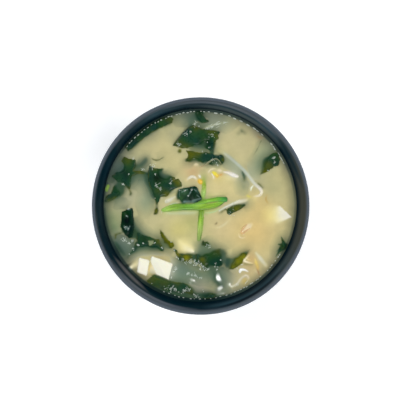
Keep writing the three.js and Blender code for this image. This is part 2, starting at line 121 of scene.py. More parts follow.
# %% The room
bpy.context.scene.view_settings.view_transform = "Standard"
ROOM_HORIZON = (0.93, 0.96, 1.0)
ROOM_ZENITH = (0.10, 0.115, 0.13)
room = bpy.data.worlds.new("room")
bpy.context.scene.world = room
room.use_nodes = True
tree = room.node_tree
direction = tree.nodes.new("ShaderNodeTexCoord")
height = tree.nodes.new("ShaderNodeSeparateXYZ")
blend = tree.nodes.new("ShaderNodeValToRGB")
tree.links.new(direction.outputs["Generated"], height.inputs[0])
tree.links.new(height.outputs["Z"], blend.inputs[0])
tree.links.new(blend.outputs[0], tree.nodes["Background"].inputs["Color"])
blend.color_ramp.elements[0].position = 0.05
blend.color_ramp.elements[0].color = (*ROOM_HORIZON, 1)
blend.color_ramp.elements[1].position = 0.93
blend.color_ramp.elements[1].color = (*ROOM_ZENITH, 1)


# %% The lamps
def lamp(name, place, size, watts, colour=(1, 1, 1), towards=(0, 0, LEVEL)):
    """A square soft lamp at a place in millimetres, facing a point."""
    light = bpy.data.lights.new(name, "AREA")
    light.size = size * MM
    light.energy = watts
    light.color = colour
    holder = placed(name, light)
    holder.location = Vector(place) * MM
    facing = (Vector(towards) - Vector(place)).normalized()
    holder.rotation_mode = "QUATERNION"
    holder.rotation_quaternion = facing.to_track_quat("-Z", "Y")
    return holder


lamp("softbox_left", (-620, 420, 760), 420, 4.8)
lamp("softbox_right", (700, 180, 700), 380, 3.8)
lamp("softbox_front", (80, -760, 760), 360, 3.4)
print("three soft lamps placed")

# %% [markdown]
# ## Colour and nodes
# Colours are written as on a paint chart, 0 to 255, and turned into light here. A material is a small
# tree of nodes, and one helper adds a node and sets or links its inputs by their names.


# %% Colour and node helpers
def paint(red, green, blue):
    """A colour from a 0 to 255 chart, as linear light."""
    chart = np.array((red, green, blue)) / 255
    return np.where(chart <= 0.04045, chart / 12.92, ((chart + 0.055) / 1.055) ** 2.4)


def chip(*chart):
    """The same colour as a node's input wants it, with a fourth part."""
    return (*paint(*chart), 1)


def feed(tree, socket, value):
    """One input: a socket is linked to it, anything else becomes its value."""
    if isinstance(value, bpy.types.NodeSocket):
        tree.links.new(value, socket)
    else:
        socket.default_value = value


def add(tree, kind, settings=None, **inputs):
    """A new node. Inputs go by name, with _ for a space, or by number, as i0."""
    node = tree.nodes.new("ShaderNode" + kind)
    for key, value in (settings or {}).items():
        setattr(node, key, value)
    for key, value in inputs.items():
        numbered = key[0] == "i" and key[1:].isdigit()
        feed(tree, node.inputs[int(key[1:]) if numbered else key.replace("_", " ")], value)
    return node


def arithmetic(tree, operation, *values, clamp=False):
    """One step of arithmetic with sockets or numbers."""
    inputs = {f"i{number}": value for number, value in enumerate(values)}
    return add(tree, "Math", {"operation": operation, "use_clamp": clamp}, **inputs).outputs[0]


def point_colour(tree):
    """The colour that each point of a mesh carries."""
    return add(tree, "Attribute", {"attribute_name": "tint"}).outputs["Color"]


def speckle(tree, size, detail=3.0, stretch=(1, 1, 1), turn=0.0):
    """Soft noise whose patches are about size millimetres wide, stretched along a turned direction."""
    where = add(tree, "TexCoord")
    mapped = add(tree, "Mapping", {"vector_type": "TEXTURE"}, Vector=where.outputs["Object"],
                 Rotation=(0, 0, turn), Scale=tuple(size * MM * s for s in stretch))
    grain = add(tree, "TexNoise", Vector=mapped.outputs[0], Scale=1.0, Detail=detail, Roughness=0.55)
    return grain.outputs["Fac"]


def between(tree, value, low, high, to_low=0.0, to_high=1.0):
    """A value carried over from one range to another, and held at the ends."""
    ranged = add(tree, "MapRange", Value=value, From_Min=low, From_Max=high, To_Min=to_low, To_Max=to_high)
    return ranged.outputs[0]


def mixed(tree, share, first, second):
    """Two colours mixed by a share."""
    node = add(tree, "Mix", {"data_type": "RGBA"}, Factor=share)
    feed(tree, node.inputs[6], first)
    feed(tree, node.inputs[7], second)
    return node.outputs[2]


def toned(tree, colour, value, saturation=1.0):
    """A colour made lighter or darker, and duller."""
    return add(tree, "HueSaturation", Value=value, Saturation=saturation, Color=colour).outputs[0]


def bumped(tree, height, depth):
    """A normal from a height pattern that is depth millimetres deep."""
    return add(tree, "Bump", Height=height, Distance=depth * MM, Strength=1.0).outputs[0]


def new_material(name):
    """A material with one Principled shader, its tree and that shader."""
    made = bpy.data.materials.new(name)
    made.use_nodes = True
    return made, made.node_tree, made.node_tree.nodes["Principled BSDF"]


def dress(tree, shader, **inputs):
    """The inputs of a shader, by name, with _ for a space."""
    for name, value in inputs.items():
        feed(tree, shader.inputs[name.replace("_", " ")], value)


# %% [markdown]
# ## Mesh helpers
# Every piece ends as a mesh that rides on the one body and replaces the plain solids it stands for.
# Positions are kept in millimetres until the last moment.


# %% From points to pieces
def make_mesh(name, points, faces, colours=None, smooth=True):
    """A mesh from points in millimetres, with a colour for each point where given."""
    mesh = bpy.data.meshes.new(name)
    mesh.from_pydata((np.asarray(points, float) * MM).tolist(), [], [list(map(int, f)) for f in faces])
    mesh.update()
    mesh.polygons.foreach_set("use_smooth", [smooth] * len(mesh.polygons))
    if colours is not None:
        layer = mesh.color_attributes.new("tint", "FLOAT_COLOR", "POINT")
        rgba = np.ones((len(mesh.vertices), 4), np.float32)
        rgba[:, :3] = colours
        layer.data.foreach_set("color", rgba.ravel())
    return mesh


def band(low, high, sides):
    """The faces between two rings of points, from the numbers of their first points."""
    return [(low + i, low + (i + 1) % sides, high + (i + 1) % sides, high + i) for i in range(sides)]


def fan(ring, tip, sides):
    """The faces between a ring of points and one tip."""
    return [(ring + i, ring + (i + 1) % sides, tip) for i in range(sides)]


def settle(name, mesh, finish, slot, *nodes):
    """The finished piece: on the body, with its material, in the place of the nodes it stands for."""
    piece = placed(name, mesh)
    mesh.materials.clear()
    mesh.materials.append(finish)
    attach(piece, "root")
    if nodes:
        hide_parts(*nodes)


def solid_arrays(node):
    """A CAD solid's own points in millimetres, each once, and its faces."""
    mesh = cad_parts[node].data
    work = bmesh.new()
    work.from_mesh(mesh)
    bmesh.ops.remove_doubles(work, verts=work.verts, dist=1e-6)
    work.verts.ensure_lookup_table()
    points = np.array([v.co[:] for v in work.verts]) / MM
    faces = [[v.index for v in f.verts] for f in work.faces]
    work.free()
    return points, faces


SMOOTH_ROUNDS = 2


def remeshed(points, faces, voxel):
    """A closed shape rebuilt from small even squares and smoothed, so that noise can shape it."""
    holder = placed("work", make_mesh("work", points, faces))
    grid = holder.modifiers.new("grid", "REMESH")
    grid.mode = "VOXEL"
    grid.voxel_size = voxel * MM
    soften = holder.modifiers.new("soften", "SMOOTH")
    soften.iterations = SMOOTH_ROUNDS
    soften.factor = 0.5
    made = holder.evaluated_get(bpy.context.evaluated_depsgraph_get()).to_mesh()
    points = np.array([v.co[:] for v in made.vertices]) / MM
    normals = np.array([v.normal[:] for v in made.vertices])
    faces = [list(p.vertices) for p in made.polygons]
    bpy.data.objects.remove(holder)
    return points, faces, normals


def ripple(points, size, seed=0.0):
    """Smooth noise from -1 to 1 at each point, with bumps about size millimetres wide."""
    offset = Vector((seed * 17.3, seed * 5.1, seed * 9.7))
    return np.array([noise.noise(Vector(p) / size + offset) for p in points])


def bell(across, up, reach):
    """A share that is 1 at a place and falls off round it, from two offsets and a reach."""
    return np.exp(-(across**2 + up**2) / reach**2)


# %% [markdown]
# ## The bowl
# The bowl is turned, so it is one profile spun round an axis: a foot ring, a round belly, a flared lip and
# the inside. The solid in the frame has 48 flat sides. The same curves with many more steps give a true
# round, and the corners of the foot get the small radius that lacquer always leaves.

# %% The bowl's profile
LIP_WIDTH = 1.8
LIP_CENTRE = RIM_TOP - LIP_WIDTH / 2
FLARE_REACH = 0.28
BELLY_POWER = 2.2
OUTER_WALL = {"floor": 3.0, "belly": RIM_RADIUS - 4.0, "flare": 4.0}
INNER_WALL = {"floor": 9.0, "belly": RIM_RADIUS - LIP_WIDTH - 5.4, "flare": 5.4}
FOOT_RADIUS, FOOT_WIDTH, FOOT_RECESS, FOOT_ROUND = 29.0, 3.0, 5.5, 0.5


def wall_point(wall, depth):
    """Radius and height on a wall, from depth 0 at the lip to 1 at the floor."""
    belly = wall["belly"] * math.sqrt(max(0.0, 1 - depth**BELLY_POWER))
    flare = wall["flare"] * max(0.0, 1 - depth / FLARE_REACH) ** 2
    return belly + flare, LIP_CENTRE - depth * (LIP_CENTRE - wall["floor"])


def wall_points(wall, last_depth, steps):
    """A wall from the lip down, with shorter steps where it curves most."""
    turn = math.asin(last_depth)
    return [wall_point(wall, math.sin(turn * i / steps)) for i in range(steps + 1)]


def rounded(corner, before, after, radius, steps=4):
    """A corner of the profile as a short curve."""
    corner, before, after = Vector(corner), Vector(before), Vector(after)
    start = corner + (before - corner).normalized() * radius
    end = corner + (after - corner).normalized() * radius
    shares = [i / steps for i in range(steps + 1)]
    return [(start.lerp(corner, s)).lerp(corner.lerp(end, s), s)[:] for s in shares]


meeting = (1 - ((FOOT_RADIUS - 0.6) / OUTER_WALL["belly"]) ** 2) ** (1 / BELLY_POWER)
outside = wall_points(OUTER_WALL, meeting, 40)[::-1]
lip = [
    (RIM_RADIUS - LIP_WIDTH / 2 * (1 - math.cos(a)), LIP_CENTRE + LIP_WIDTH / 2 * math.sin(a))
    for a in np.linspace(0, math.pi, 17)[1:-1]
]
recess = FOOT_RADIUS - FOOT_WIDTH
foot_corners = [(0, FOOT_RECESS), (recess - 1, FOOT_RECESS), (recess, 0), (FOOT_RADIUS, 0), *outside[:2]]
foot = [foot_corners[0]]
for i in range(1, 5):
    foot += rounded(foot_corners[i], foot_corners[i - 1], foot_corners[i + 1], FOOT_ROUND)
profile = foot + outside[1:] + lip + wall_points(INNER_WALL, 1.0, 44)
print(len(profile), "points from the foot to the middle of the inside")


# %% Spin the profile
def spun(profile, sides):
    """A closed turned mesh. The first and last point lie on the axis."""
    points = [(0, 0, profile[0][1])]
    angles = np.linspace(0, 2 * math.pi, sides, endpoint=False)
    for radius, height in profile[1:-1]:
        points += [(radius * math.cos(a), radius * math.sin(a), height) for a in angles]
    points.append((0, 0, profile[-1][1]))
    rings = len(profile) - 2
    faces = [(0, 1 + (i + 1) % sides, 1 + i) for i in range(sides)]
    for ring in range(rings - 1):
        faces += band(1 + ring * sides, 1 + (ring + 1) * sides, sides)
    return points, faces + fan(1 + (rings - 1) * sides, len(points) - 1, sides)


BOWL_SIDES = 224
bowl_points, bowl_faces = spun(profile, BOWL_SIDES)
cad_points, cad_faces = solid_arrays("bowl")
cad_tree = BVHTree.FromPolygons(cad_points.tolist(), cad_faces)
apart = max(cad_tree.find_nearest(p)[3] for p in bowl_points[::7])
print(f"the round bowl is nowhere more than {apart:.2f} mm from the solid")

# %% [markdown]
# ## Black lacquer
# Lacquer is a thin glossy coat over black plastic. It isn't quite black: it has a blue cast, and paler and
# darker streaks run round it. Their pale is a painted reflection, blue from the room and warm like the
# broth on the right, and it is painted stronger towards the back right, as a painted lit side. The lip's
# round top is painted paler as a painted reflection, and it is duller, as where hands and chopsticks rub
# it. Just above the broth the wall is painted darkest, a band of painted shade. Fine scratches break the
# shine.
# Inside, a few faint bands are painted reflections, light and dark, each on one side of the wall. Each is
# listed with its radius, half its width, the direction it faces, half the angle it spans and its colour.
# They lie on the inner wall only, so the outside stays plain.

# %% Lacquer
DARK, REFLECTED_ROOM_BLUE, REFLECTED_BROTH_WARM = chip(0, 29, 38), chip(43, 68, 78), chip(60, 63, 57)
WALL_FOOT_SHADE, LIP_SHEEN = chip(0, 22, 31), chip(81, 89, 97)
FOOT_SHADE_FROM, FOOT_SHADE_TO = LEVEL + 2.0, LEVEL + 4.4
WALL_SLOPE, WALL_FROM, WALL_TO = -1.75, -41.5, -39.5
# Painted reflections, light and dark: radius, half width, facing direction, half angle and colour of each.
REFLECTED_BANDS = [
    (55.2, 1.1, 66, 32, 70, 82, 84), (57.3, 0.8, 75, 38, 96, 104, 112), (54.9, 1.3, 224, 12, 88, 88, 88),
    (57.3, 0.8, 240, 30, 88, 94, 102), (57, 0.8, 298, 30, 8, 22, 32), (56, 1.8, 27, 14, 16, 38, 46),
    (56.7, 1.8, 168, 22, 0, 26, 36), (56.3, 0.6, 95, 20, 40, 54, 60),
]


def painted_reflection_bands(tree, plain, flat, radius, height):
    """The plain ground with the painted reflection bands over it, light and dark, on the inner wall only.
    """
    ground = plain
    for middle, reach, towards, half_angle, *tone in REFLECTED_BANDS:
        turn = math.radians(towards)
        along = add(tree, "VectorMath", {"operation": "DOT_PRODUCT"}, i0=flat)
        along.inputs[1].default_value = (math.cos(turn), math.sin(turn), 0)
        ends = middle * math.cos(math.radians(half_angle))
        facing = between(tree, along.outputs["Value"], ends * MM, middle * MM)
        off = arithmetic(tree, "ABSOLUTE", arithmetic(tree, "SUBTRACT", radius, middle * MM))
        near = between(tree, off, 0.3 * reach * MM, reach * MM, 1, 0)
        ground = mixed(tree, arithmetic(tree, "MULTIPLY", near, facing), ground, chip(*tone))
    slope = arithmetic(tree, "MULTIPLY_ADD", radius, WALL_SLOPE, height)
    return mixed(tree, between(tree, slope, WALL_FROM * MM, WALL_TO * MM), plain, ground)


def lacquer_material():
    made, tree, shader = new_material("black_lacquer")
    place = add(tree, "SeparateXYZ", Vector=add(tree, "TexCoord").outputs["Object"])
    x, y, height = place.outputs
    flat = add(tree, "CombineXYZ", X=x, Y=y).outputs[0]
    radius = add(tree, "VectorMath", {"operation": "LENGTH"}, i0=flat).outputs["Value"]
    round_it = arithmetic(tree, "ARCTAN2", y, x)
    # Painted reflection: the lip's round top is painted paler, reaching further in behind and in front than
    # on the left and right; the same share also makes it duller.
    sideways = arithmetic(tree, "COSINE", arithmetic(tree, "MULTIPLY", round_it, 2.0))
    edge = arithmetic(tree, "MULTIPLY_ADD", sideways, -0.7 * MM, radius)
    by_height = between(tree, height, (RIM_TOP - 2.6) * MM, (RIM_TOP - 0.7) * MM)
    by_radius = between(tree, edge, (RIM_RADIUS - 2.9) * MM, (RIM_RADIUS - 1.9) * MM)
    lip_sheen_and_wear = arithmetic(tree, "MINIMUM", by_height, by_radius)
    turning = add(tree, "CombineXYZ", X=round_it, Y=between(tree, height, 0, 2.4 * MM, 0, 1), Z=3.0)
    streaks = add(tree, "TexNoise", Vector=turning.outputs[0], Scale=1.6, Detail=2.5).outputs["Fac"]
    # Painted light: the pale share of the streaks grows towards +x and +y, a painted lit side.
    away = arithmetic(tree, "MULTIPLY_ADD", x, 1.0, y)
    painted_lit_side = between(tree, away, -65 * MM, 65 * MM, -0.4, 0.5)
    share = arithmetic(tree, "ADD", between(tree, streaks, 0.32, 0.68), painted_lit_side, clamp=True)
    # Painted reflection: the pale of the streaks is the room's blue, turning warm like the broth on the
    # right.
    pale = mixed(tree, between(tree, x, 38 * MM, 56 * MM), REFLECTED_ROOM_BLUE, REFLECTED_BROTH_WARM)
    # Painted shade: a dark band on the wall just above the broth.
    foot_shade = between(tree, height, FOOT_SHADE_FROM * MM, FOOT_SHADE_TO * MM, 1, 0)
    ground = mixed(tree, foot_shade, mixed(tree, share, DARK, pale), WALL_FOOT_SHADE)
    ground = painted_reflection_bands(tree, mixed(tree, lip_sheen_and_wear, ground, LIP_SHEEN), flat, radius, height)
    patches = between(tree, speckle(tree, 9, 4), 0.3, 0.7, 0.14, 0.22)
    dull = arithmetic(tree, "MULTIPLY_ADD", lip_sheen_and_wear, 0.22, patches)
    scratches = bumped(tree, speckle(tree, 0.5, 2, stretch=(1, 14, 1), turn=0.6), 0.004)
    dress(tree, shader, Base_Color=ground, Roughness=dull, Normal=scratches, Specular_IOR_Level=0.08)
    return made


bowl_mesh = make_mesh("lacquer_bowl", bowl_points, bowl_faces)
settle("lacquer_bowl", bowl_mesh, lacquer_material(), "lacquer", "bowl")

# %% [markdown]
# ## Wakame
# Wakame is a seaweed sold dried in small folded scraps. In hot soup each scrap opens into a slippery leaf
# under a millimetre thick, with a torn edge that is thin enough to show olive, and soft ruffles. A leaf
# is made here as a flat net of triangles inside its torn outline, which is then bent and given thickness
# that runs out to nothing at the edge. The outline is read from the leaf's solid in the frame.


# %% Outlines from the leaf solids
ABOVE_ALL, BELOW_ALL = 20, 30


def outline_loops(node):
    """The outlines of a leaf solid, the outer first. Its sides are upright, so each corner is a column."""
    points, faces = solid_arrays(node)
    column, places, which = {}, [], []
    for x, y, _ in points:
        key = (round(x, 3), round(y, 3))
        if key not in column:
            column[key] = len(places)
            places.append(key)
        which.append(column[key])
    beside = {}
    for face in faces:
        corners = sorted({which[i] for i in face})
        if len(corners) == 2:
            beside.setdefault(corners[0], set()).add(corners[1])
            beside.setdefault(corners[1], set()).add(corners[0])
    loops, left = [], set(beside)
    while left:
        loop = [left.pop()]
        while True:
            onward = [n for n in beside[loop[-1]] if n in left]
            if not onward:
                break
            loop.append(onward[0])
            left.discard(onward[0])
        loops.append(np.array([places[i] for i in loop]))
    return sorted(loops, key=lambda loop: -np.ptp(loop, axis=0).sum())


def middle_height(node):
    """A function for the height of the middle of a solid at a place."""
    points, faces = solid_arrays(node)
    tree = BVHTree.FromPolygons(points.tolist(), faces)
    centre = points.mean(axis=0)

    def height(x, y):
        top = tree.ray_cast((x, y, LEVEL + ABOVE_ALL), (0, 0, -1))[0]
        low = tree.ray_cast((x, y, LEVEL - BELOW_ALL), (0, 0, 1))[0]
        if top is None or low is None:
            return tree.find_nearest((x, y, centre[2]))[0][2]
        return (top[2] + low[2]) / 2

    return height


# %% A torn edge and a bent sheet
EDGE_STEP = 0.42
TEAR = 0.26


def torn(loop, seed):
    """A loop walked in even small steps and pushed in and out a little, as a torn leaf is."""
    closed = np.vstack([loop, loop[:1]])
    run = np.concatenate([[0], np.cumsum(np.hypot(*np.diff(closed, axis=0).T))])
    steps = max(8, round(run[-1] / EDGE_STEP))
    at = np.linspace(0, run[-1], steps, endpoint=False)
    path = np.column_stack([np.interp(at, run, closed[:, k]) for k in (0, 1)])
    along = np.roll(path, -1, axis=0) - np.roll(path, 1, axis=0)
    across = np.column_stack([along[:, 1], -along[:, 0]]) / np.hypot(*along.T)[:, None]
    flat = np.column_stack([path, np.zeros(len(path))])
    push = ripple(flat, 1.6, seed) + 0.6 * ripple(flat, 0.7, seed + 3)
    return path + across * (push * TEAR)[:, None]


def within(loop, x, y):
    """Whether a place is inside a loop: then a line from it to the right crosses the loop an odd number
    of times."""
    (x0, y0), (x1, y1) = loop.T, np.roll(loop, -1, axis=0).T
    crosses = (y0 > y) != (y1 > y)
    at = x0 + (y - y0) * (x1 - x0) / (y1 - y0 + 1e-12)
    return np.count_nonzero(crosses & (at > x)) % 2 == 1


def net(loops, step):
    """A flat net of triangles inside the first loop and outside the others, and its distance to them."""
    points, edges = [], []
    for loop in loops:
        first = len(points)
        points += [Vector(p) for p in loop]
        edges += [(first + i, first + (i + 1) % len(loop)) for i in range(len(loop))]
    tree = KDTree(len(points))
    for i, p in enumerate(points):
        tree.insert((*p, 0), i)
    tree.balance()
    low, high = loops[0].min(axis=0), loops[0].max(axis=0)
    for row, y in enumerate(np.arange(low[1], high[1], step * 0.87)):
        for x in np.arange(low[0] + (row % 2) * step / 2, high[0], step):
            if tree.find((x, y, 0))[2] > step * 0.55:
                points.append(Vector((x, y)))
    made = delaunay_2d_cdt(points, edges, [], 2, 1e-5)
    flat = np.array([p[:] for p in made[0]])
    distance = np.array([tree.find((*p, 0))[2] for p in flat])
    faces = [list(f) for f in made[2]]
    faces = [f for f in faces if not any(within(hole, *flat[f].mean(axis=0)) for hole in loops[1:])]
    return flat, faces, distance


def thick_sheet(flat, faces, middle, half):
    """Two copies of a net, half a thickness above and below its middle, closed round the edge."""
    count = len(flat)
    points = np.vstack([np.column_stack([flat, middle + half]), np.column_stack([flat, middle - half])])
    made, seen = [], set()
    for a, b, c in faces:
        (ax, ay), (bx, by), (cx, cy) = flat[a], flat[b], flat[c]
        face = (a, b, c) if (bx - ax) * (cy - ay) - (by - ay) * (cx - ax) > 0 else (a, c, b)
        made.append(face)
        made.append((face[0] + count, face[2] + count, face[1] + count))
        seen.update((face[i], face[(i + 1) % 3]) for i in range(3))
    made += [(a, a + count, b + count, b) for a, b in sorted(seen) if (b, a) not in seen]
    return points, made


# %% [markdown]
# A leaf is nearly black green where it is thick and olive where it is thin. Such places are listed: a
# place, a reach and how far the olive goes there. Above 1 it turns to the bright yellow green of a leaf
# that light comes through, and below 0 the leaf is made darker there.

# %% Leaf colours
LEAF_TEAL = paint(12, 51, 40)
LEAF_GREEN = paint(31, 67, 28)
LEAF_OLIVE = paint(78, 84, 8)
LEAF_BRIGHT = paint(112, 114, 10)
THIN_PLACES = [
    (-12, 34, 2.5, 0.6), (-8, 32.5, 2, 0.5), (-2.5, 43.2, 2, 0.5), (6, 40.8, 3, 0.6),
    (9.5, 38.5, 1.5, 0.5), (-5.5, 28.5, 3.2, 1), (-1, 29.5, 2, 0.6), (12.8, 25.5, 1.2, 0.6),
    (8, 23, 2, 0.3), (38.5, 22, 3, 0.6), (36, 18.6, 2, 0.8), (43.5, 26, 1, 0.3), (-40.5, 25.5, 3, 0.5),
    (-34, 18, 3, 0.5), (-50.8, 2.6, 1.4, 0.5), (-48, 3.6, 1.4, 0.4), (-25, 20.4, 3, 0.5),
    (-12.3, 12.6, 2.2, 1), (-18.5, 5.8, 2.2, 0.9), (-23, 9, 3, 0.3), (-24.8, -3.5, 2, 1),
    (-24.5, 0.5, 1.5, 0.5), (-15, 14.5, 1, 0.4), (-23.5, -20.5, 1.6, 0.6), (-21.5, -22.5, 1.2, 0.6),
    (-20.5, -16.5, 2.6, 0.9), (-18.4, -19, 2.6, 0.8), (-16, -22, 2.2, 1.3), (-12.5, -27.5, 1.6, 1.1),
    (-7.5, -29.5, 2.2, 1.8), (1.2, -30.5, 1.8, 0.9), (3, -33, 1.6, 0.3), (10, -25, 3.5, 0.5),
    (21.5, -31.5, 2.6, 1.6), (24.2, -29, 2, 1.7), (18.5, -34.5, 1.8, 1.2), (-27, -41.5, 3, 0.55),
    (-20, -43.2, 3, 0.45), (-4.5, -48, 2.2, 0.5), (-13, -43.5, 2, 0.35), (20.5, -1.8, 3, 1),
    (3.4, -21.2, 1.8, 0.3), (-11.3, 30.6, 1.5, 1.2), (8.4, 35.6, 1.6, 0.5), (33.5, 11.5, 3, 0.9),
    (-46, -16.6, 3, 0.9), (27.5, -33, 3, 1.4), (12.5, -4, 2.5, 0.8), (-39.4, 7.8, 2, 0.6),
    (-21.6, 26.4, 3, 0.7), (-17, 48, 3, 0.4), (-24, 15.2, 3.6, -1), (-42, 17.6, 3, -0.5),
    (4.4, 36, 3.2, -0.6), (-37, 37, 3, -0.4), (11, -32.4, 3, -0.3), (-39, -15, 4, -0.8),
    (-31, -19, 3, -0.5), (0, 51.5, 3, -0.6), (42.6, 24.4, 2, -0.4), (-33, 24.6, 3, -0.3),
    (-45, -24, 3, -0.3), (12, -45, 3, -0.5),
]


def leaf_colours(points, distance, seed):
    """Dark in the middle, greener in patches, olive along torn edges and in the thin places."""
    patch = np.clip(0.45 + 0.9 * ripple(points, 5.0, seed), 0, 1)[:, None]
    body = LEAF_TEAL + (LEAF_GREEN - LEAF_TEAL) * patch
    body = body * (1 + 0.22 * ripple(points, 2.6, seed + 5))[:, None]
    edge = np.clip(1 - distance / 0.7, 0, 1) * np.clip(0.25 + ripple(points, 3.0, seed + 7), 0, 0.7)
    thin = np.zeros(len(points))
    for x, y, reach, share in THIN_PLACES:
        thin += share * bell(points[:, 0] - x, points[:, 1] - y, reach)
    thin = thin * (1 + 0.3 * ripple(points, 2.0, seed + 9)) + edge
    body = body * (1 + 0.7 * np.clip(thin, -1, 0))[:, None]
    tone = body + (LEAF_OLIVE - body) * np.clip(thin, 0, 1)[:, None]
    return tone + (LEAF_BRIGHT - tone) * np.clip(thin - 1, 0, 1)[:, None]


# %% [markdown]
# Each leaf dips under the surface somewhere, and that is where it turns hazy. A dip is a place, how far it
# reaches and how deep it goes. Leaves that lie wholly under the surface come after, with a depth and an
# outline of their own, because the frame holds only what breaks the surface. A few of these are no leaf
# but dark sheets of painted shadow, put where the broth shows only shade: under an arm of leaf, along
# the leaf at the upper left wall, beside a straight leaf edge and under a line of foam.

# %% Where leaves dip
LEAF_THICKNESS = 0.5
DIPS = [
    (-1, 32.4, 3.6, 0.9), (-4.5, 33, 2.4, 0.4), (2.5, 35, 2.5, 0.6), (-4.8, 49.5, 3, 2.2),
    (-1.5, 47, 2, 0.6), (9.4, 27.8, 2.2, 0.6), (-3, 24, 3, 0.9), (9, 23, 3, 1.2), (3.5, 23.4, 2, 0.8),
    (-9, 24.8, 1.8, 0.8), (32.6, 20.5, 3.6, 1.3), (33.8, 25.5, 3.4, 0.9), (36.8, 28.4, 2.4, 1.2),
    (-45.5, 21.4, 3.2, 1.7), (-42.6, 11.6, 1.2, 0.3), (-32, 14, 3.2, 2), (-30, 7.5, 3, 2),
    (-27, 2, 2.2, 1.6), (-24.4, -0.5, 1.6, 0.8), (-18.8, 18.2, 4.4, 1.7), (-15.5, 7, 2.6, 1.3),
    (-20.6, 4.2, 2, 0.8), (-35, -25.6, 3, 1.6), (-30, -26, 3.4, 1.8), (-25, -26, 3, 1.4),
    (-21.4, -19.5, 1.5, 0.7), (-19.4, -23.5, 2.4, 1.2), (-31, -15, 2.6, 1.2), (-44, 10.6, 3, 1.2),
    (-42.8, 7, 2.2, 0.8), (13.4, -25.6, 3, 1), (15, -30.5, 3.4, 1.8), (0.5, -26.2, 2.6, 1.2),
    (6, -36.6, 3, 1.5), (11, -35, 2, 0.6), (4.5, -24.6, 3, 1.1), (8.6, -23.6, 2.4, 0.7),
    (15.6, -34, 2.4, 1), (17, -30, 2.4, 1.2), (26, -25.4, 2.2, 0.8), (20.4, -27.4, 2.4, 1.2),
    (-6, -45.6, 2, 0.5), (-12, -42.4, 3, 0.6), (3, -49.6, 2, 0.8), (8, -49.6, 1.3, 0.5),
    (43.6, -21.6, 1.8, 0.8), (46, -18.6, 1, 0.4), (42.6, -25, 2, 0.7), (45.6, -23.4, 1.4, 0.3),
    (1.2, -21.6, 1.6, 0.6), (15.2, -2.6, 1.2, 0.5), (23.8, 0.8, 1.8, 0.9), (-33, 18.4, 2.4, 0.3),
    (-24, 45, 2.4, 0.4), (-39.6, 31, 1.4, 0.5), (-35, 33.6, 2.4, 0.6),
]


def dipped(flat):
    """How far each point of a leaf is pushed under by the dips."""
    sink = np.zeros(len(flat))
    for x, y, reach, depth in DIPS:
        near = np.clip(1 - np.hypot(flat[:, 0] - x, flat[:, 1] - y) / (reach * 1.4), 0, 1)
        sink += depth * near * near * (3 - 2 * near)
    return sink
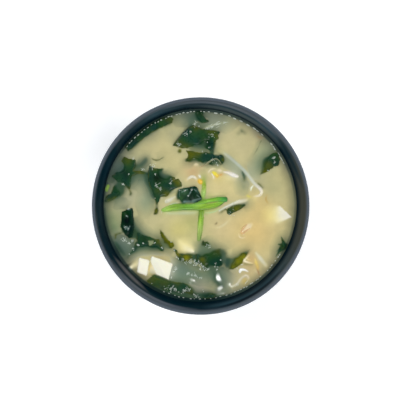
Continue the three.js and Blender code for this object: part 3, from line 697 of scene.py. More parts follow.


# %% Leaves, and sheets of painted shadow, under the surface
SUNK_LEAVES_AND_SHADOW_SHEETS = [
    (0.4, [(22.6, 19.6), (24.6, 20.6), (26, 16.6), (25.9, 13.2), (24, 13)]),
    (2.2, [(20.5, 14), (24, 13), (27, 12.6), (25.4, 6), (22.5, 8)]),
    (0.2, [(30.8, 13.6), (33.2, 12.3), (35.8, 9.8), (35.1, 9.2), (32.4, 11.5)]),
    (0.8, [(-36.4, 18.8), (-36, 22.4), (-33, 25.4), (-30.2, 28.4), (-28.4, 26.6), (-28.4, 23.6),
           (-31.5, 20.8)]),
    (0.1, [(-37, 18.3), (-33.6, 19.7), (-31, 19), (-28.2, 17.2), (-28.8, 16.2), (-31.2, 17.5),
           (-33.8, 18), (-37, 17)]),
    # Painted shadow: a dark sheet under the arm of the leaf above it, where there is only shade.
    (1.6, [(-38, 17.6), (-34, 19), (-30, 19), (-30, 15.6), (-33, 14.6), (-37, 14.4)]),
    (0.5, [(-33, 18.6), (-28, 19.4), (-26, 14), (-25.4, 8), (-24.6, 3), (-27.2, 2.8), (-29.6, 8.4),
           (-31.8, 13)]),
    (0.15, [(-38.6, 25), (-36, 25), (-35.2, 22.6), (-35.9, 20.4), (-37.6, 18.6), (-39, 20)]),
    (4.4, [(-50.4, 14.4), (-48.4, 18), (-46.6, 22.4), (-43.6, 27), (-43, 24), (-42.6, 20), (-45, 14.6)]),
    (0.5, [(-53.6, 1.4), (-52.6, 4), (-50.2, 6), (-48.6, 9.6), (-46.8, 13.6), (-43.4, 13.6), (-41.4, 10),
           (-42, 6.4), (-44.4, 4), (-47.6, 2.4), (-50.6, 1.3)]),
    (0.1, [(-43.6, 12), (-41.8, 10.6), (-40.2, 8.2), (-39.4, 8.8), (-39.2, 12.4), (-38.2, 16),
           (-41, 15)]),
    (0.1, [(-40, 9), (-38.6, 8.9), (-38, 6.4), (-38.6, 5), (-39.8, 5.6), (-39.2, 7)]),
    (1.4, [(-43.8, -1.2), (-42.6, 1.4), (-40.8, 1), (-41.6, -1.2)]),
    (0.7, [(-27, 12), (-26.8, 7.4), (-24.6, 6.4), (-23.6, 10), (-25, 13.4)]),
    (1.2, [(-24, 24.8), (-21.6, 25.4), (-19.6, 27.2), (-20.6, 28), (-22.4, 26.8)]),
    # Painted shade: a dark sheet along the inner edge of the leaf at the upper left wall.
    (0.6, [(-40.4, 29.4), (-35.6, 33.2), (-30.6, 37.6), (-26.4, 40.6), (-21.6, 43.2), (-16, 45.4),
           (-14.4, 47.6), (-16, 48.2), (-23, 46), (-31, 40.6), (-38, 34)]),
    # Painted shade: a dark strip between that leaf and the wall.
    (0.3, [(-42.6, 32.4), (-39, 36.9), (-34, 41.6), (-29, 45.2), (-24, 48), (-19.6, 49.8), (-22, 47),
           (-30, 42.5), (-36, 37), (-40.4, 31.6)]),
    (0.1, [(-12.6, 30.4), (-11.6, 31.9), (-10.2, 31.2), (-10.6, 29.3), (-12, 29.2)]),
    (1.2, [(-6.4, 32.4), (-4, 34.5), (0, 35.5), (3.5, 33), (4, 30), (0, 30.4), (-4, 31)]),
    (0.25, [(3, 36.4), (4.2, 31), (5.6, 27.8), (7.4, 27.6), (8.4, 30), (9, 34.6), (8.6, 38.2),
           (5, 38.6)]),
    # Painted shadow: a dark line beside the straight left edge of the leaf above.
    (0.5, [(-15.4, 33.6), (-11, 39.2), (-5.6, 46.2), (-3.6, 46.2), (-2, 43.6), (-6, 41), (-11, 35.5)]),
    (0.2, [(-3.4, 51.4), (-2.2, 53.3), (2, 53.3), (2.4, 51), (0, 49.6), (-2.6, 49.4)]),
    (1.5, [(-8.6, 44.6), (-7, 49), (-5, 52.4), (-2, 52.4), (-1, 47), (-2.4, 44.8), (-5, 44)]),
    (3.6, [(-1, 43.5), (4, 42.2), (11, 42.2), (17, 44.4), (20, 46.5), (14, 48), (6, 47.4), (0, 46)]),
    (2.6, [(-22, 51), (-14, 49), (-10, 49), (-4, 51.6), (4, 53), (12, 52.4), (20, 49.8), (10, 50),
           (0, 50), (-8, 46.4), (-16, 46.8)]),
    (1.8, [(-10, 24.6), (-4, 25), (6, 23), (12, 22.5), (10, 21.4), (4, 22.2), (-2, 23), (-8, 23.4)]),
    (2.8, [(12.5, 28), (17, 25.5), (23, 20.5), (26, 15.5), (23, 15), (18.5, 19.5), (14, 22), (12.6, 24)]),
    (8.6, [(28.6, 22), (30.6, 28), (34.2, 36), (38.6, 37), (42.8, 33.4), (43.6, 28.5), (36, 27.4),
           (33.4, 21), (31.4, 17), (28.6, 17.4)]),
    (4.6, [(28.4, 17), (30.6, 25), (34, 29), (36, 26), (33.6, 20), (31.6, 15.6)]),
    (0.15, [(10.4, 28.8), (13.6, 28.2), (13.4, 24), (11.6, 23.4), (10.2, 25.4)]),
    (2.4, [(34, 16.8), (33, 20), (33.4, 25), (35.6, 28.6), (38, 28), (36, 22)]),
    (0.2, [(22, 42.4), (23.4, 42.8), (24.4, 41), (23, 40.4)]),
    (0.25, [(24.6, 41.6), (26, 41), (25.6, 39.6), (24.4, 40)]),
    (0.25, [(20.8, 41), (21.8, 41.2), (22.2, 39.6), (21.2, 39.4)]),
    (0.3, [(33, 34.8), (34.4, 36.8), (35, 36.2), (33.8, 34.4)]),
    (1.3, [(-38.6, -7), (-35, -9.4), (-32.6, -13), (-28.6, -16), (-24.4, -18), (-23.6, -19.8),
           (-29, -19.8), (-33, -19.6), (-36, -19.2), (-38.6, -19), (-41, -18)]),
    (0.3, [(-38.8, -9), (-36.6, -12.4), (-33.4, -15.4), (-29, -18), (-24.6, -18.8), (-23.6, -19.8),
           (-29, -20), (-33, -19.6), (-36, -19.2), (-38.6, -19), (-41, -18)]),
    (0.1, [(-44.2, -12.6), (-43.6, -14.8), (-41.6, -17), (-39, -19), (-37.2, -17.8), (-37, -14.6),
           (-40, -12)]),
    (0.9, [(-38, -6.4), (-36, -7.8), (-34.6, -11), (-36.4, -12.6), (-38.6, -10)]),
    (1.5, [(-8.8, -37.8), (-6, -37.4), (-2, -38.2), (1.8, -39.2), (1.8, -41.6), (-2, -41.8), (-6, -41.2),
           (-8.6, -40)]),
    # Painted shadow: a dark line under the row of foam.
    (1.1, [(-6.2, -33.8), (-1, -35.4), (4.6, -37.8), (4.4, -39.4), (-1, -37.8), (-6.6, -35.6)]),
    (1.3, [(3.6, -33.6), (7.6, -34), (8.2, -38), (8.6, -43.6), (5.6, -44), (4.2, -39.4)]),
    (1.4, [(-40.4, 17), (-36, 17), (-34.2, 14.8), (-36, 11), (-38.6, 9.6), (-39.6, 12)]),
    (0.7, [(-49, -19.6), (-46, -20), (-43.6, -22.6), (-41.4, -26), (-40.8, -28.8), (-43.6, -29),
           (-47, -25)]),
    (4.6, [(-50, -20), (-46, -17), (-38, -20), (-36, -27), (-40, -31), (-44, -29)]),
    (0.19, [(-36.4, -19.8), (-34.6, -20), (-34, -24), (-36.6, -26.6), (-40, -28.8), (-40.6, -27.8),
           (-37.8, -24.6)]),
    (4.4, [(-34, 18), (-28.5, 19.6), (-27, 10), (-25, 2), (-28.6, 2.6), (-31, 8), (-33.4, 13)]),
    (1.6, [(-22, 19), (-18, 18.6), (-14.6, 16.8), (-14.6, 15), (-18, 14.4), (-22, 15)]),
    (0.15, [(-48, -19), (-47.9, -16), (-43.6, -14.9), (-43.4, -15.9), (-46.4, -16.9), (-46.8, -19)]),
    (0.4, [(-41, -29.6), (-40.4, -27.8), (-39.4, -28.4), (-40, -30)]),
    (1.2, [(-38.6, -26.6), (-35.4, -24), (-24, -24), (-20, -26.4), (-24, -27), (-30, -26.6), (-35, -27.8),
           (-39, -29.4)]),
    (1.7, [(-23, -12.6), (-21.4, -15.4), (-18.8, -19.6), (-15, -20.8), (-14, -24), (-16.6, -26),
           (-20.4, -25.4), (-22.8, -20)]),
    (3.2, [(-14, -30.5), (-9.5, -31.2), (-5, -33), (0, -35.8), (4.5, -37.8), (7, -36), (6.4, -42),
           (2, -42.6), (-6, -43.2), (-13, -42.6), (-17, -42), (-15.2, -36), (-15, -32)]),
    (2.6, [(-9, -32.6), (-4.6, -33.4), (1.4, -36.8), (4.8, -38.4), (4.4, -39.4), (-1, -38), (-6, -35.8)]),
    (0.7, [(5.8, -34.6), (9.8, -35.4), (10.6, -38), (12.4, -42), (14.6, -46.4), (9.4, -46.6),
           (7.2, -43.4), (5.8, -39.4)]),
    (0.6, [(-4, -49.2), (0, -48.2), (8, -48.4), (16, -49), (8, -52), (-2, -52)]),
    (0.8, [(-30.6, -42.6), (-25, -39.6), (-17.6, -41.8), (-9, -43), (-4, -45), (-1, -49), (3, -49.4),
           (9, -49.4), (16, -49.8), (20, -48.4), (19, -49.8), (9, -53), (0, -53.6), (-10, -52.8),
           (-20, -49.8), (-28, -45.6)]),
    (3.2, [(10, -35), (15, -36), (17, -41), (16.4, -47), (10, -49), (11, -42)]),
    (0.5, [(14.4, -28.4), (18.6, -29), (17.4, -33), (16.4, -36), (13.6, -35.4), (13, -31.6)]),
    (1, [(16, -35), (17.4, -29.4), (22.4, -26), (28.6, -23.4), (26.4, -27.4), (20.4, -29.8),
           (18, -35.6)]),
    (1.6, [(-2.4, -22), (1, -19.4), (6, -19.6), (9, -23.4), (15, -23.6), (12, -26), (2, -28),
           (-2.6, -27.6)]),
    (4.6, [(45.6, -16.4), (48.6, -20), (48, -24.6), (45.4, -29), (42.4, -30), (41.4, -26), (43, -21)]),
    (0.05, [(45, -16.6), (46.8, -19.4), (49.6, -22), (48.2, -24.4), (45, -26.4), (42, -29), (44, -25.2),
           (45.6, -23.4), (43.4, -21.8), (46, -21)]),
    (0.6, [(14.6, -21.3), (15.6, -20.9), (17, -21), (17.1, -21.8), (15.6, -22)]),
    (2.4, [(-33, -2), (-30.6, 0.4), (-28.8, 2.8), (-29.6, 3.2), (-32.2, 1), (-33.6, -1.2)]),
    (5.4, [(-33, 5), (-28, 5), (-27, -2), (-31, -5), (-34, -1)]),
    (2.8, [(-47.6, 3.6), (-44.4, 4.6), (-42.4, 1.4), (-43.4, -0.6), (-46, 0.8)]),
    (0.3, [(-4.6, -27), (0.4, -26.8), (0.8, -32.4), (-2.6, -34), (-4.4, -30)]),
    (0.15, [(-13, -26.4), (-4, -26.8), (-3.4, -30.6), (-8, -31.8), (-12.8, -30.8)]),
    (0.3, [(24.6, -32), (27, -32.6), (29.8, -32.8), (29.2, -33.7), (26, -33.6), (24.4, -33)]),
    (0.15, [(-27.4, -39), (-25.4, -38.2), (-18, -41.2), (-13, -42.8), (-14, -44.4), (-20, -43.6),
           (-26.6, -42)]),
    (0.15, [(-21.6, -14.4), (-20.4, -15.6), (-18.8, -18.2), (-17.4, -19.8), (-19.4, -19.4), (-21, -17)]),
    (1.4, [(-15, -32), (-12.6, -31.6), (-13.4, -38), (-17, -42), (-16.4, -38)]),
    (0.15, [(10.2, -4.4), (12, -3.2), (14.4, -1.5), (15, -2.4), (12.6, -3.9), (10.6, -4.9)]),
    (0.15, [(15.2, -2.4), (17.6, -0.5), (21, 0.6), (25.6, 0.8), (24, -1), (21, -3), (17.6, -4.6),
           (15.4, -5)]),
    (0.15, [(-13.6, 5.6), (-12.8, 8.4), (-11, 9.4), (-10.4, 3), (-13, 2.8)]),
    (0.1, [(-25.5, -2.4), (-24.2, -1.8), (-23.1, -2.6), (-23.3, -4.2), (-24.6, -5.4), (-25.9, -5.2)]),
    (0.3, [(-11.6, 2.8), (-10.4, 0.6), (-8.4, 0.9), (0.4, 1.2), (1.1, 3.4), (-6, 3.4)]),
    (1.6, [(15.4, -1), (19, 1.6), (24, 3), (29, 2.6), (28.4, -0.4), (23.6, -1.4), (18, -1.6)]),
]
EDGE_SAG, SAG_REACH = 1.1, 1.2
NET_STEP = 0.5
sheets = []


def leaf_arrays(loops, height, seed, ruffle=1.0, sag=0.0):
    """One leaf: torn, bent, thick in the middle and thin at its edge. It floats, or its edge sags."""
    flat, faces, distance = net([torn(loop, seed + k) for k, loop in enumerate(loops)], NET_STEP)
    rough = np.column_stack([flat, np.zeros(len(flat))])
    wrinkles = 0.07 * ripple(rough, 2.3, seed + 11) + 0.26 * ripple(rough, 5.5, seed + 12)
    lift = np.array([height(x, y) for x, y in flat]) - LEVEL + wrinkles * ruffle
    if not sag:
        lift = np.maximum(lift, 0.25 * lift + 0.075)
    middle = LEVEL + lift - (0 if sag else dipped(flat))
    middle -= sag * EDGE_SAG * np.clip(1 - distance / SAG_REACH, 0, 1) ** 2
    half = LEAF_THICKNESS / 2 * np.clip(0.12 + distance / 1.2, 0, 1)
    points, faces = thick_sheet(flat, faces, middle, half)
    colours = leaf_colours(points, np.tile(distance, 2), seed)
    sheets.append((points, faces, colours))
    return points, faces, colours


def joined(parts):
    """Several lots of points, faces and colours as one."""
    faces, start = [], 0
    for points, part_faces, _ in parts:
        faces += [[start + i for i in f] for f in part_faces]
        start += len(points)
    return np.vstack([p[0] for p in parts]), faces, np.vstack([p[2] for p in parts])


# %% Wet leaf
def wakame_material(name, shine):
    made, tree, shader = new_material(name)
    tint = point_colour(tree)
    grain = speckle(tree, 1.3, 3)
    colour = mixed(tree, between(tree, grain, 0.4, 0.8, 0, 0.6), tint, toned(tree, tint, 1.25, 0.95))
    dress(tree, shader, Base_Color=colour, Roughness=between(tree, grain, 0.3, 0.7, 0.26, 0.38),
          Normal=bumped(tree, speckle(tree, 2.4, 2), 0.035), Specular_IOR_Level=shine)
    return made


wakame = wakame_material("wet_wakame", 0.2)
flat_leaves = sorted(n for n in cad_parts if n.startswith("wakame") and "crumpled" not in n)
for seed, node in enumerate(flat_leaves):
    leaf = leaf_arrays(outline_loops(node), middle_height(node), seed * 1.37)
    settle("leaf_" + node[7:], make_mesh(node, *leaf), wakame, "wakame", node)
sunk = []
for seed, (depth, outline) in enumerate(SUNK_LEAVES_AND_SHADOW_SHEETS):
    lies_at = LEVEL - depth - LEAF_THICKNESS / 2
    limp = min(depth, 1.0)
    sunk.append(leaf_arrays([np.array(outline, float)], lambda x, y, z=lies_at: z, 40 + seed, limp, limp))
settle("sunk_leaves_and_shadow_sheets", make_mesh("sunk_leaves_and_shadow_sheets", *joined(sunk)), wakame, "wakame")
print(len(flat_leaves), "leaves at the surface and", len(sunk), "below it")

# %% [markdown]
# ## Crumpled wakame
# Two scraps never opened. They float high as tight, nearly black lumps with a few flat facets. A lump is
# the hull round the corners listed here, with heights from the level of the broth, cut into small squares
# and pushed in along soft creases, which are painted darker and their ridges lighter, as painted shade.
# Its patches are a place, a reach and a colour: most are its own greener or darker tone, but the
# near-black one in the middle of the left lump is painted shade in a deep fold, and the pale ones along
# the front edge of the middle lump are a painted reflection. Its pale streaks are painted highlights and
# reflections, each from one place to another, and with a width.


# %% Lumps
def hull(corners):
    """The closed shape stretched round some corners."""
    work = bmesh.new()
    for x, y, z in corners:
        work.verts.new((x, y, LEVEL + z))
    made = bmesh.ops.convex_hull(work, input=work.verts)
    bmesh.ops.delete(work, geom=[v for v in made["geom_interior"] if isinstance(v, bmesh.types.BMVert)])
    work.verts.index_update()
    points = np.array([v.co[:] for v in work.verts])
    faces = [[v.index for v in f.verts] for f in work.faces]
    work.free()
    return points, faces


LUMP_SQUARES, TOFU_SQUARES = 0.28, 0.3
LUMP_DARK = paint(4, 36, 20)
LUMP_HIGHLIGHT = paint(138, 164, 156)
LUMPS = {
    "wakame_crumpled_middle": (
        [(-11.9, 9, 0.5), (-9.4, 9.8, 0.7), (-2.7, 10.8, 0.9), (-1.5, 9.9, 0.8), (0.9, 5, 0.5),
         (0.9, 3.4, 0.1), (-1.4, 1.6, 0), (-9.4, 1.4, 0), (-11.6, 3.2, 0.2), (-5.4, 6.4, 1.7),
         (-3, 7.2, 1.6), (-2, 3, -4), (-9, 3, -4), (-9, 8, -4), (-2, 9, -4)],
        [(-9, 7.6, 2.4, 54, 86, 58), (-11, 4, 1.8, 46, 80, 44), (-3, 1.6, 1.4, 66, 98, 86),
         (-8, 1.4, 1.5, 66, 98, 86), (-1, 8, 1.4, 34, 72, 56), (-2, 5, 1.8, 14, 48, 26)],
        [(-4.4, 9.6, -5.4, 7.2, 0.3), (-5.4, 7.2, -6.9, 5, 0.35), (-3.4, 9, -2.2, 8, 0.25),
         (-11.6, 5, -11.8, 9, 0.3), (-11.8, 9, -9.4, 9.8, 0.25), (-4, 2.6, 0.2, 3.7, 0.5),
         (-9, 2, -4, 2, 0.5), (-1.8, 5.8, -0.4, 4.6, 0.25), (-10.2, 7.4, -9, 8, 0.3),
         (-8.4, 8.4, -7.2, 8.8, 0.3)]),
    "wakame_crumpled_left": (
        [(-37.6, -1.2, 0.4), (-41, -2.4, 1), (-43.8, -3.6, 0.4), (-44.2, -8.8, 0.2), (-44.8, -12, 0),
         (-41.8, -16.9, 0), (-40, -18.8, -0.1), (-37.8, -18, 0), (-36.6, -12.5, 0.1), (-37.6, -8.8, 0.5),
         (-38.1, -3.9, 0.6), (-41, -7.5, 1.5), (-40.6, -12, 1.3), (-43, -5, -4), (-43, -12, -4),
         (-39, -16, -4), (-38, -6, -4)],
        [(-42.8, -5, 2.4, 6, 50, 8), (-43.6, -11, 1.8, 8, 46, 22), (-41, -8.6, 2.4, 0, 8, 12),
         (-39.4, -13.4, 2.2, 0, 24, 22)],
        [(-42.4, -11.6, -41.6, -13.3, 0.35), (-41.6, -13.3, -40.9, -12, 0.3),
         (-40.9, -12, -40.3, -13.7, 0.35), (-40.3, -13.7, -39.3, -11.7, 0.35),
         (-41.3, -5.7, -40.6, -6.2, 0.35), (-40.5, -2, -39.3, -2.3, 0.4)]),
}


def from_line(points, x0, y0, x1, y1):
    """How far each point is from a line between two places, seen from above."""
    along = np.array([x1 - x0, y1 - y0])
    share = np.clip(((points[:, :2] - (x0, y0)) @ along) / (along @ along), 0, 1)
    return np.hypot(*(points[:, :2] - (x0, y0) - share[:, None] * along).T)


folded_wakame = wakame_material("folded_wakame", 0.08)
for seed, (node, (corners, patches, streaks)) in enumerate(LUMPS.items()):
    points, faces, normals = remeshed(*hull(corners), LUMP_SQUARES)
    folds = np.abs(ripple(points, 4.2, 61 + seed)) * 2
    points = points + normals * (0.35 * np.clip(folds, 0, 1) - 0.25)[:, None]
    # Painted shade: the creases pushed in are darker and the ridges lighter.
    colours = np.tile(LUMP_DARK, (len(points), 1)) * (0.7 + 0.6 * np.clip(folds, 0, 1))[:, None]
    # Patches: mostly own tone; the near-black one on the left lump is painted fold shade, the pale ones on
    # the middle lump's front edge are painted reflection.
    for x, y, reach, *tone in patches:
        share = bell(points[:, 0] - x, points[:, 1] - y, reach)
        colours += (paint(*tone) - colours) * share[:, None]
    # Painted highlights and reflections: pale streaks along the wet folds.
    for x0, y0, x1, y1, width in streaks:
        share = 0.34 * np.exp(-((from_line(points, x0, y0, x1, y1) / width) ** 2))
        colours += (LUMP_HIGHLIGHT - colours) * share[:, None]
    sheets.append((points, faces, colours))
    settle("lump_" + node[16:], make_mesh(node, points, faces, colours), folded_wakame, "wakame", node)

# %% [markdown]
# ## Tofu
# Silken tofu is cut with a knife, so its faces are flat and its edges crisp, but it is soft and its skin
# has tiny pits. Light goes some way into it, which subsurface scattering gives. Four of the blocks lie
# aslant or with a corner under the broth, and those are the hull round the corners listed here, with
# heights from the level of the broth.

# %% Tofu
TOFU_WHITE = paint(240, 236, 218)
SLANTED_BLOCKS = {
    "tofu_right": [(-26.9, -28.5, 1), (-27.7, -31, 0.5), (-24.3, -35.8, 0), (-24.4, -38.5, -0.1),
                   (-17.7, -41.4, 0.8), (-15.4, -32.8, 1.3), (-25.6, -37, -6), (-27, -28.7, -7),
                   (-26, -38.2, -8), (-17.7, -41.4, -8), (-15.4, -32.8, -7)],
    "tofu_wall_right": [(44.8, -0.4, -0.15), (51.1, -6.6, 0.15), (43.4, -10, -0.7), (41.6, -1, -1.2),
                        (40.4, -9.2, -1.7), (36.6, -2, -3.4), (35.6, -8.6, -3), (50, -7, -8),
                        (44, -2, -8), (43.5, -9.5, -8)],
    "tofu_corner_wall": [(-40, -34.9, -0.1), (-38.6, -36, -0.25), (-34.9, -33.4, -0.9),
                         (-36.4, -31.6, -0.8), (-32.8, -30.4, -4.6), (-38, -34, -6), (-34.6, -31.8, -6)],
    "tofu_middle": [(-3.2, -26.3, -0.15), (-12, -27.3, -1.9), (-8, -24.2, -0.55), (-12.6, -18.6, -1.3),
                    (-7, -20.4, -1.9), (-2.4, -23.6, -2.4), (-4, -26, -8), (-12, -26, -8), (-12, -19, -8),
                    (-6, -20.6, -8)],
}


def tofu_material():
    made, tree, shader = new_material("silken_tofu")
    colour = mixed(tree, speckle(tree, 3.0, 3), chip(238, 234, 210), chip(243, 241, 223))
    place = add(tree, "TexCoord").outputs["Object"]
    pits = add(tree, "TexVoronoi", {"feature": "F1"}, Vector=place, Scale=1400.0)
    pitted = bumped(tree, pits.outputs["Distance"], 0.03)
    dress(tree, shader, Base_Color=colour, Normal=pitted, Roughness=0.4, Subsurface_Weight=0.3,
          Subsurface_Radius=(1.0, 0.8, 0.5), Subsurface_Scale=0.0012)
    return made


tofu = tofu_material()
for seed, node in enumerate(n for n in sorted(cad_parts) if n.startswith("tofu")):
    shape = hull(SLANTED_BLOCKS[node]) if node in SLANTED_BLOCKS else solid_arrays(node)
    points, faces, normals = remeshed(*shape, TOFU_SQUARES)
    points = points + normals * (0.07 * ripple(points, 2.3, 80 + seed) + 0.02)[:, None]
    sheets.append((points, faces, np.tile(TOFU_WHITE, (len(points), 1))))
    settle(node[5:] + "_tofu", make_mesh(node, points, faces), tofu, "tofu", node)

# %% [markdown]
# ## Spring onion and bean sprouts
# A leaf of spring onion is a flattened hollow tube with fine lines along it. Sprouts are round, watery
# stems, and their split beans are yellow. All of them are one thing: a section swept along a curve, with a
# width and a tone that change on the way. Heights count from the level of the broth, so what lies below
# zero is sunk.


# %% A swept strand
STRAND_SIDES = 14


def curve(stops, steps):
    """A smooth curve through the stops."""
    padded = np.vstack([2 * stops[0] - stops[1], stops, 2 * stops[-1] - stops[-2]])
    made = []
    for t in np.linspace(0, len(stops) - 1, steps + 1):
        i = min(int(t), len(stops) - 2)
        f = t - i
        a, b, c, d = padded[i : i + 4]
        bend, twist = 2 * a - 5 * b + 4 * c - d, 3 * b - a - 3 * c + d
        made.append(b + 0.5 * ((c - a) * f + bend * f**2 + twist * f**3))
    return np.array(made)


def spread(values, run):
    """Values that are evenly spaced along a length, read at shares of it."""
    values = np.array(values, float)
    return np.interp(run, np.linspace(0, 1, len(values)), values)


def strand_arrays(path, widths, thick, tones, seed, blunt, streaks):
    """A strand's points, faces and colours. Its ends are round, or blunt where it was cut."""
    sides = STRAND_SIDES
    stops = np.array(path, float) + (0, 0, LEVEL)
    length = np.linalg.norm(np.diff(stops, axis=0), axis=1).sum()
    steps = max(8, int(length / 0.3))
    middle = curve(stops, steps)
    run = np.linspace(0, 1, steps + 1)
    wander = np.array([noise.noise(Vector((r * length / 2.2, seed * 3.1, 0))) for r in run])
    width = spread(widths, run) * (1 + 0.12 * wander)
    to_end = np.minimum(run, 1 - run) * length / (0.5 * width * (1 - blunt) + 0.05)
    cap = np.sqrt(1 - (1 - np.clip(to_end, 0.04, 1)) ** 2)
    tangent = np.gradient(middle, axis=0)
    side = np.cross((0, 0, 1), tangent)
    side /= np.linalg.norm(side, axis=1)[:, None]
    lift = np.cross(tangent, side)
    lift /= np.linalg.norm(lift, axis=1)[:, None]
    turn = np.linspace(0, 2 * math.pi, sides, endpoint=False)
    across, up = np.cos(turn), np.sin(turn)
    wide, high = (width * cap / 2)[:, None, None], (thick * cap / 2)[:, None, None]
    rings = middle[:, None] + side[:, None] * across[None, :, None] * wide
    rings = rings + lift[:, None] * up[None, :, None] * high
    base = np.column_stack([spread(column, run) for column in np.array([paint(*t) for t in tones]).T])
    lines = [[noise.noise(Vector((r * length / 7, c * 2.6, seed * 5.3))) for c in across] for r in run]
    # Painted shade: each strand is a little darker along its two sides.
    rim = 1 - 0.18 * np.abs(across) ** 3
    colours = base[:, None] * ((1 + streaks * 4 * np.array(lines)) * rim[None])[..., None]
    faces = []
    for ring in range(steps):
        faces += band(ring * sides, (ring + 1) * sides, sides)
    faces.append(tuple(range(sides))[::-1])
    faces.append(tuple(range(steps * sides, (steps + 1) * sides)))
    return rings.reshape(-1, 3), faces, np.clip(colours.reshape(-1, 3), 0, 1)


# %% [markdown]
# Each entry below is a node it stands for, or a kind of loose bit, its thickness, the widths and the tones
# along it, and the places it runs through.

# %% The onion
CREAM = (216, 210, 182)
PALE = (228, 224, 202)
ONION = [
    ("onion_leaf_across", 1.3, (1.6, 3.3, 3.7, 3.4, 3.2, 4.2, 5.4, 5, 3.4, 1.6),
     [(130, 170, 70), (152, 192, 74), (142, 186, 62), (104, 156, 46), (108, 156, 54), (128, 170, 54),
      (134, 174, 50), (130, 174, 52), (104, 162, 48), (76, 146, 54)],
     [(-21.6, -2.9, -0.4), (-17.6, -1.9, 0.1), (-13.5, -1.1, 0.25), (-9, -0.9, 0.3), (-4.5, -0.9, 0.35),
      (0, -0.4, 0.4), (4.5, 0.6, 0.4), (8.5, 1.6, 0.4), (12, 2.5, 0.3), (14.4, 3, 0.1)]),
    ("onion_leaf_across", 1, (1.2, 2.2, 2.4, 2.2, 1.2),
     [(114, 160, 58), (124, 166, 46), (132, 172, 44), (126, 170, 46), (112, 162, 50)],
     [(-5, -1.9, 0.3), (0, -1.7, 0.6), (5, -0.9, 0.75), (9.5, 0.2, 0.7), (12.9, 1.6, 0.3)]),
    ("onion_leaf_across", 1.1, (1.2, 2.2, 2.4, 2.4, 2.7, 2.5),
     [(110, 158, 58), (112, 164, 48), (128, 178, 54), (112, 168, 46), (68, 142, 52), (52, 124, 48)],
     [(-3.5, 0.4, 0.3), (0.5, 1.4, 0.65), (4.5, 2.5, 0.85), (9, 3.2, 0.85), (12.6, 3.4, 0.7),
      (15.3, 3.1, 0.4)]),
    ("onion_leaf_across", 0.4, (0.4, 0.6, 0.4), [(130, 160, 60), (164, 168, 84), (130, 166, 60)],
     [(3.2, 0.7, 1), (6.6, 1.5, 1.2), (10.4, 2.1, 1.1)]),
    ("onion_leaf_down", 1.1, (2, 2.4, 2.6, 2.8, 2.6, 3, 3.2, 2.9, 2.2),
     [(150, 180, 100), (146, 176, 70), (150, 176, 62), (160, 190, 108), (124, 166, 54), (128, 168, 50),
      (136, 174, 54), (160, 184, 92), (132, 162, 80)],
     [(1.8, 18.4, -2.2), (2.1, 14, -1.1), (2.2, 10, -0.2), (1.9, 6.5, -0.4), (1.4, 2, -1.5),
      (0.7, -4, -0.2), (0.4, -9, 0), (0, -14, 0.05), (-0.7, -20, -0.2)]),
    ("onion_piece_wall", 0.9, (1.3, 1.9, 1.6), [(122, 154, 66), (138, 170, 78), (128, 160, 70)],
     [(-52.5, 7.6, -0.5), (-51.9, 9.6, -0.25), (-51, 11.6, -0.5)]),
]

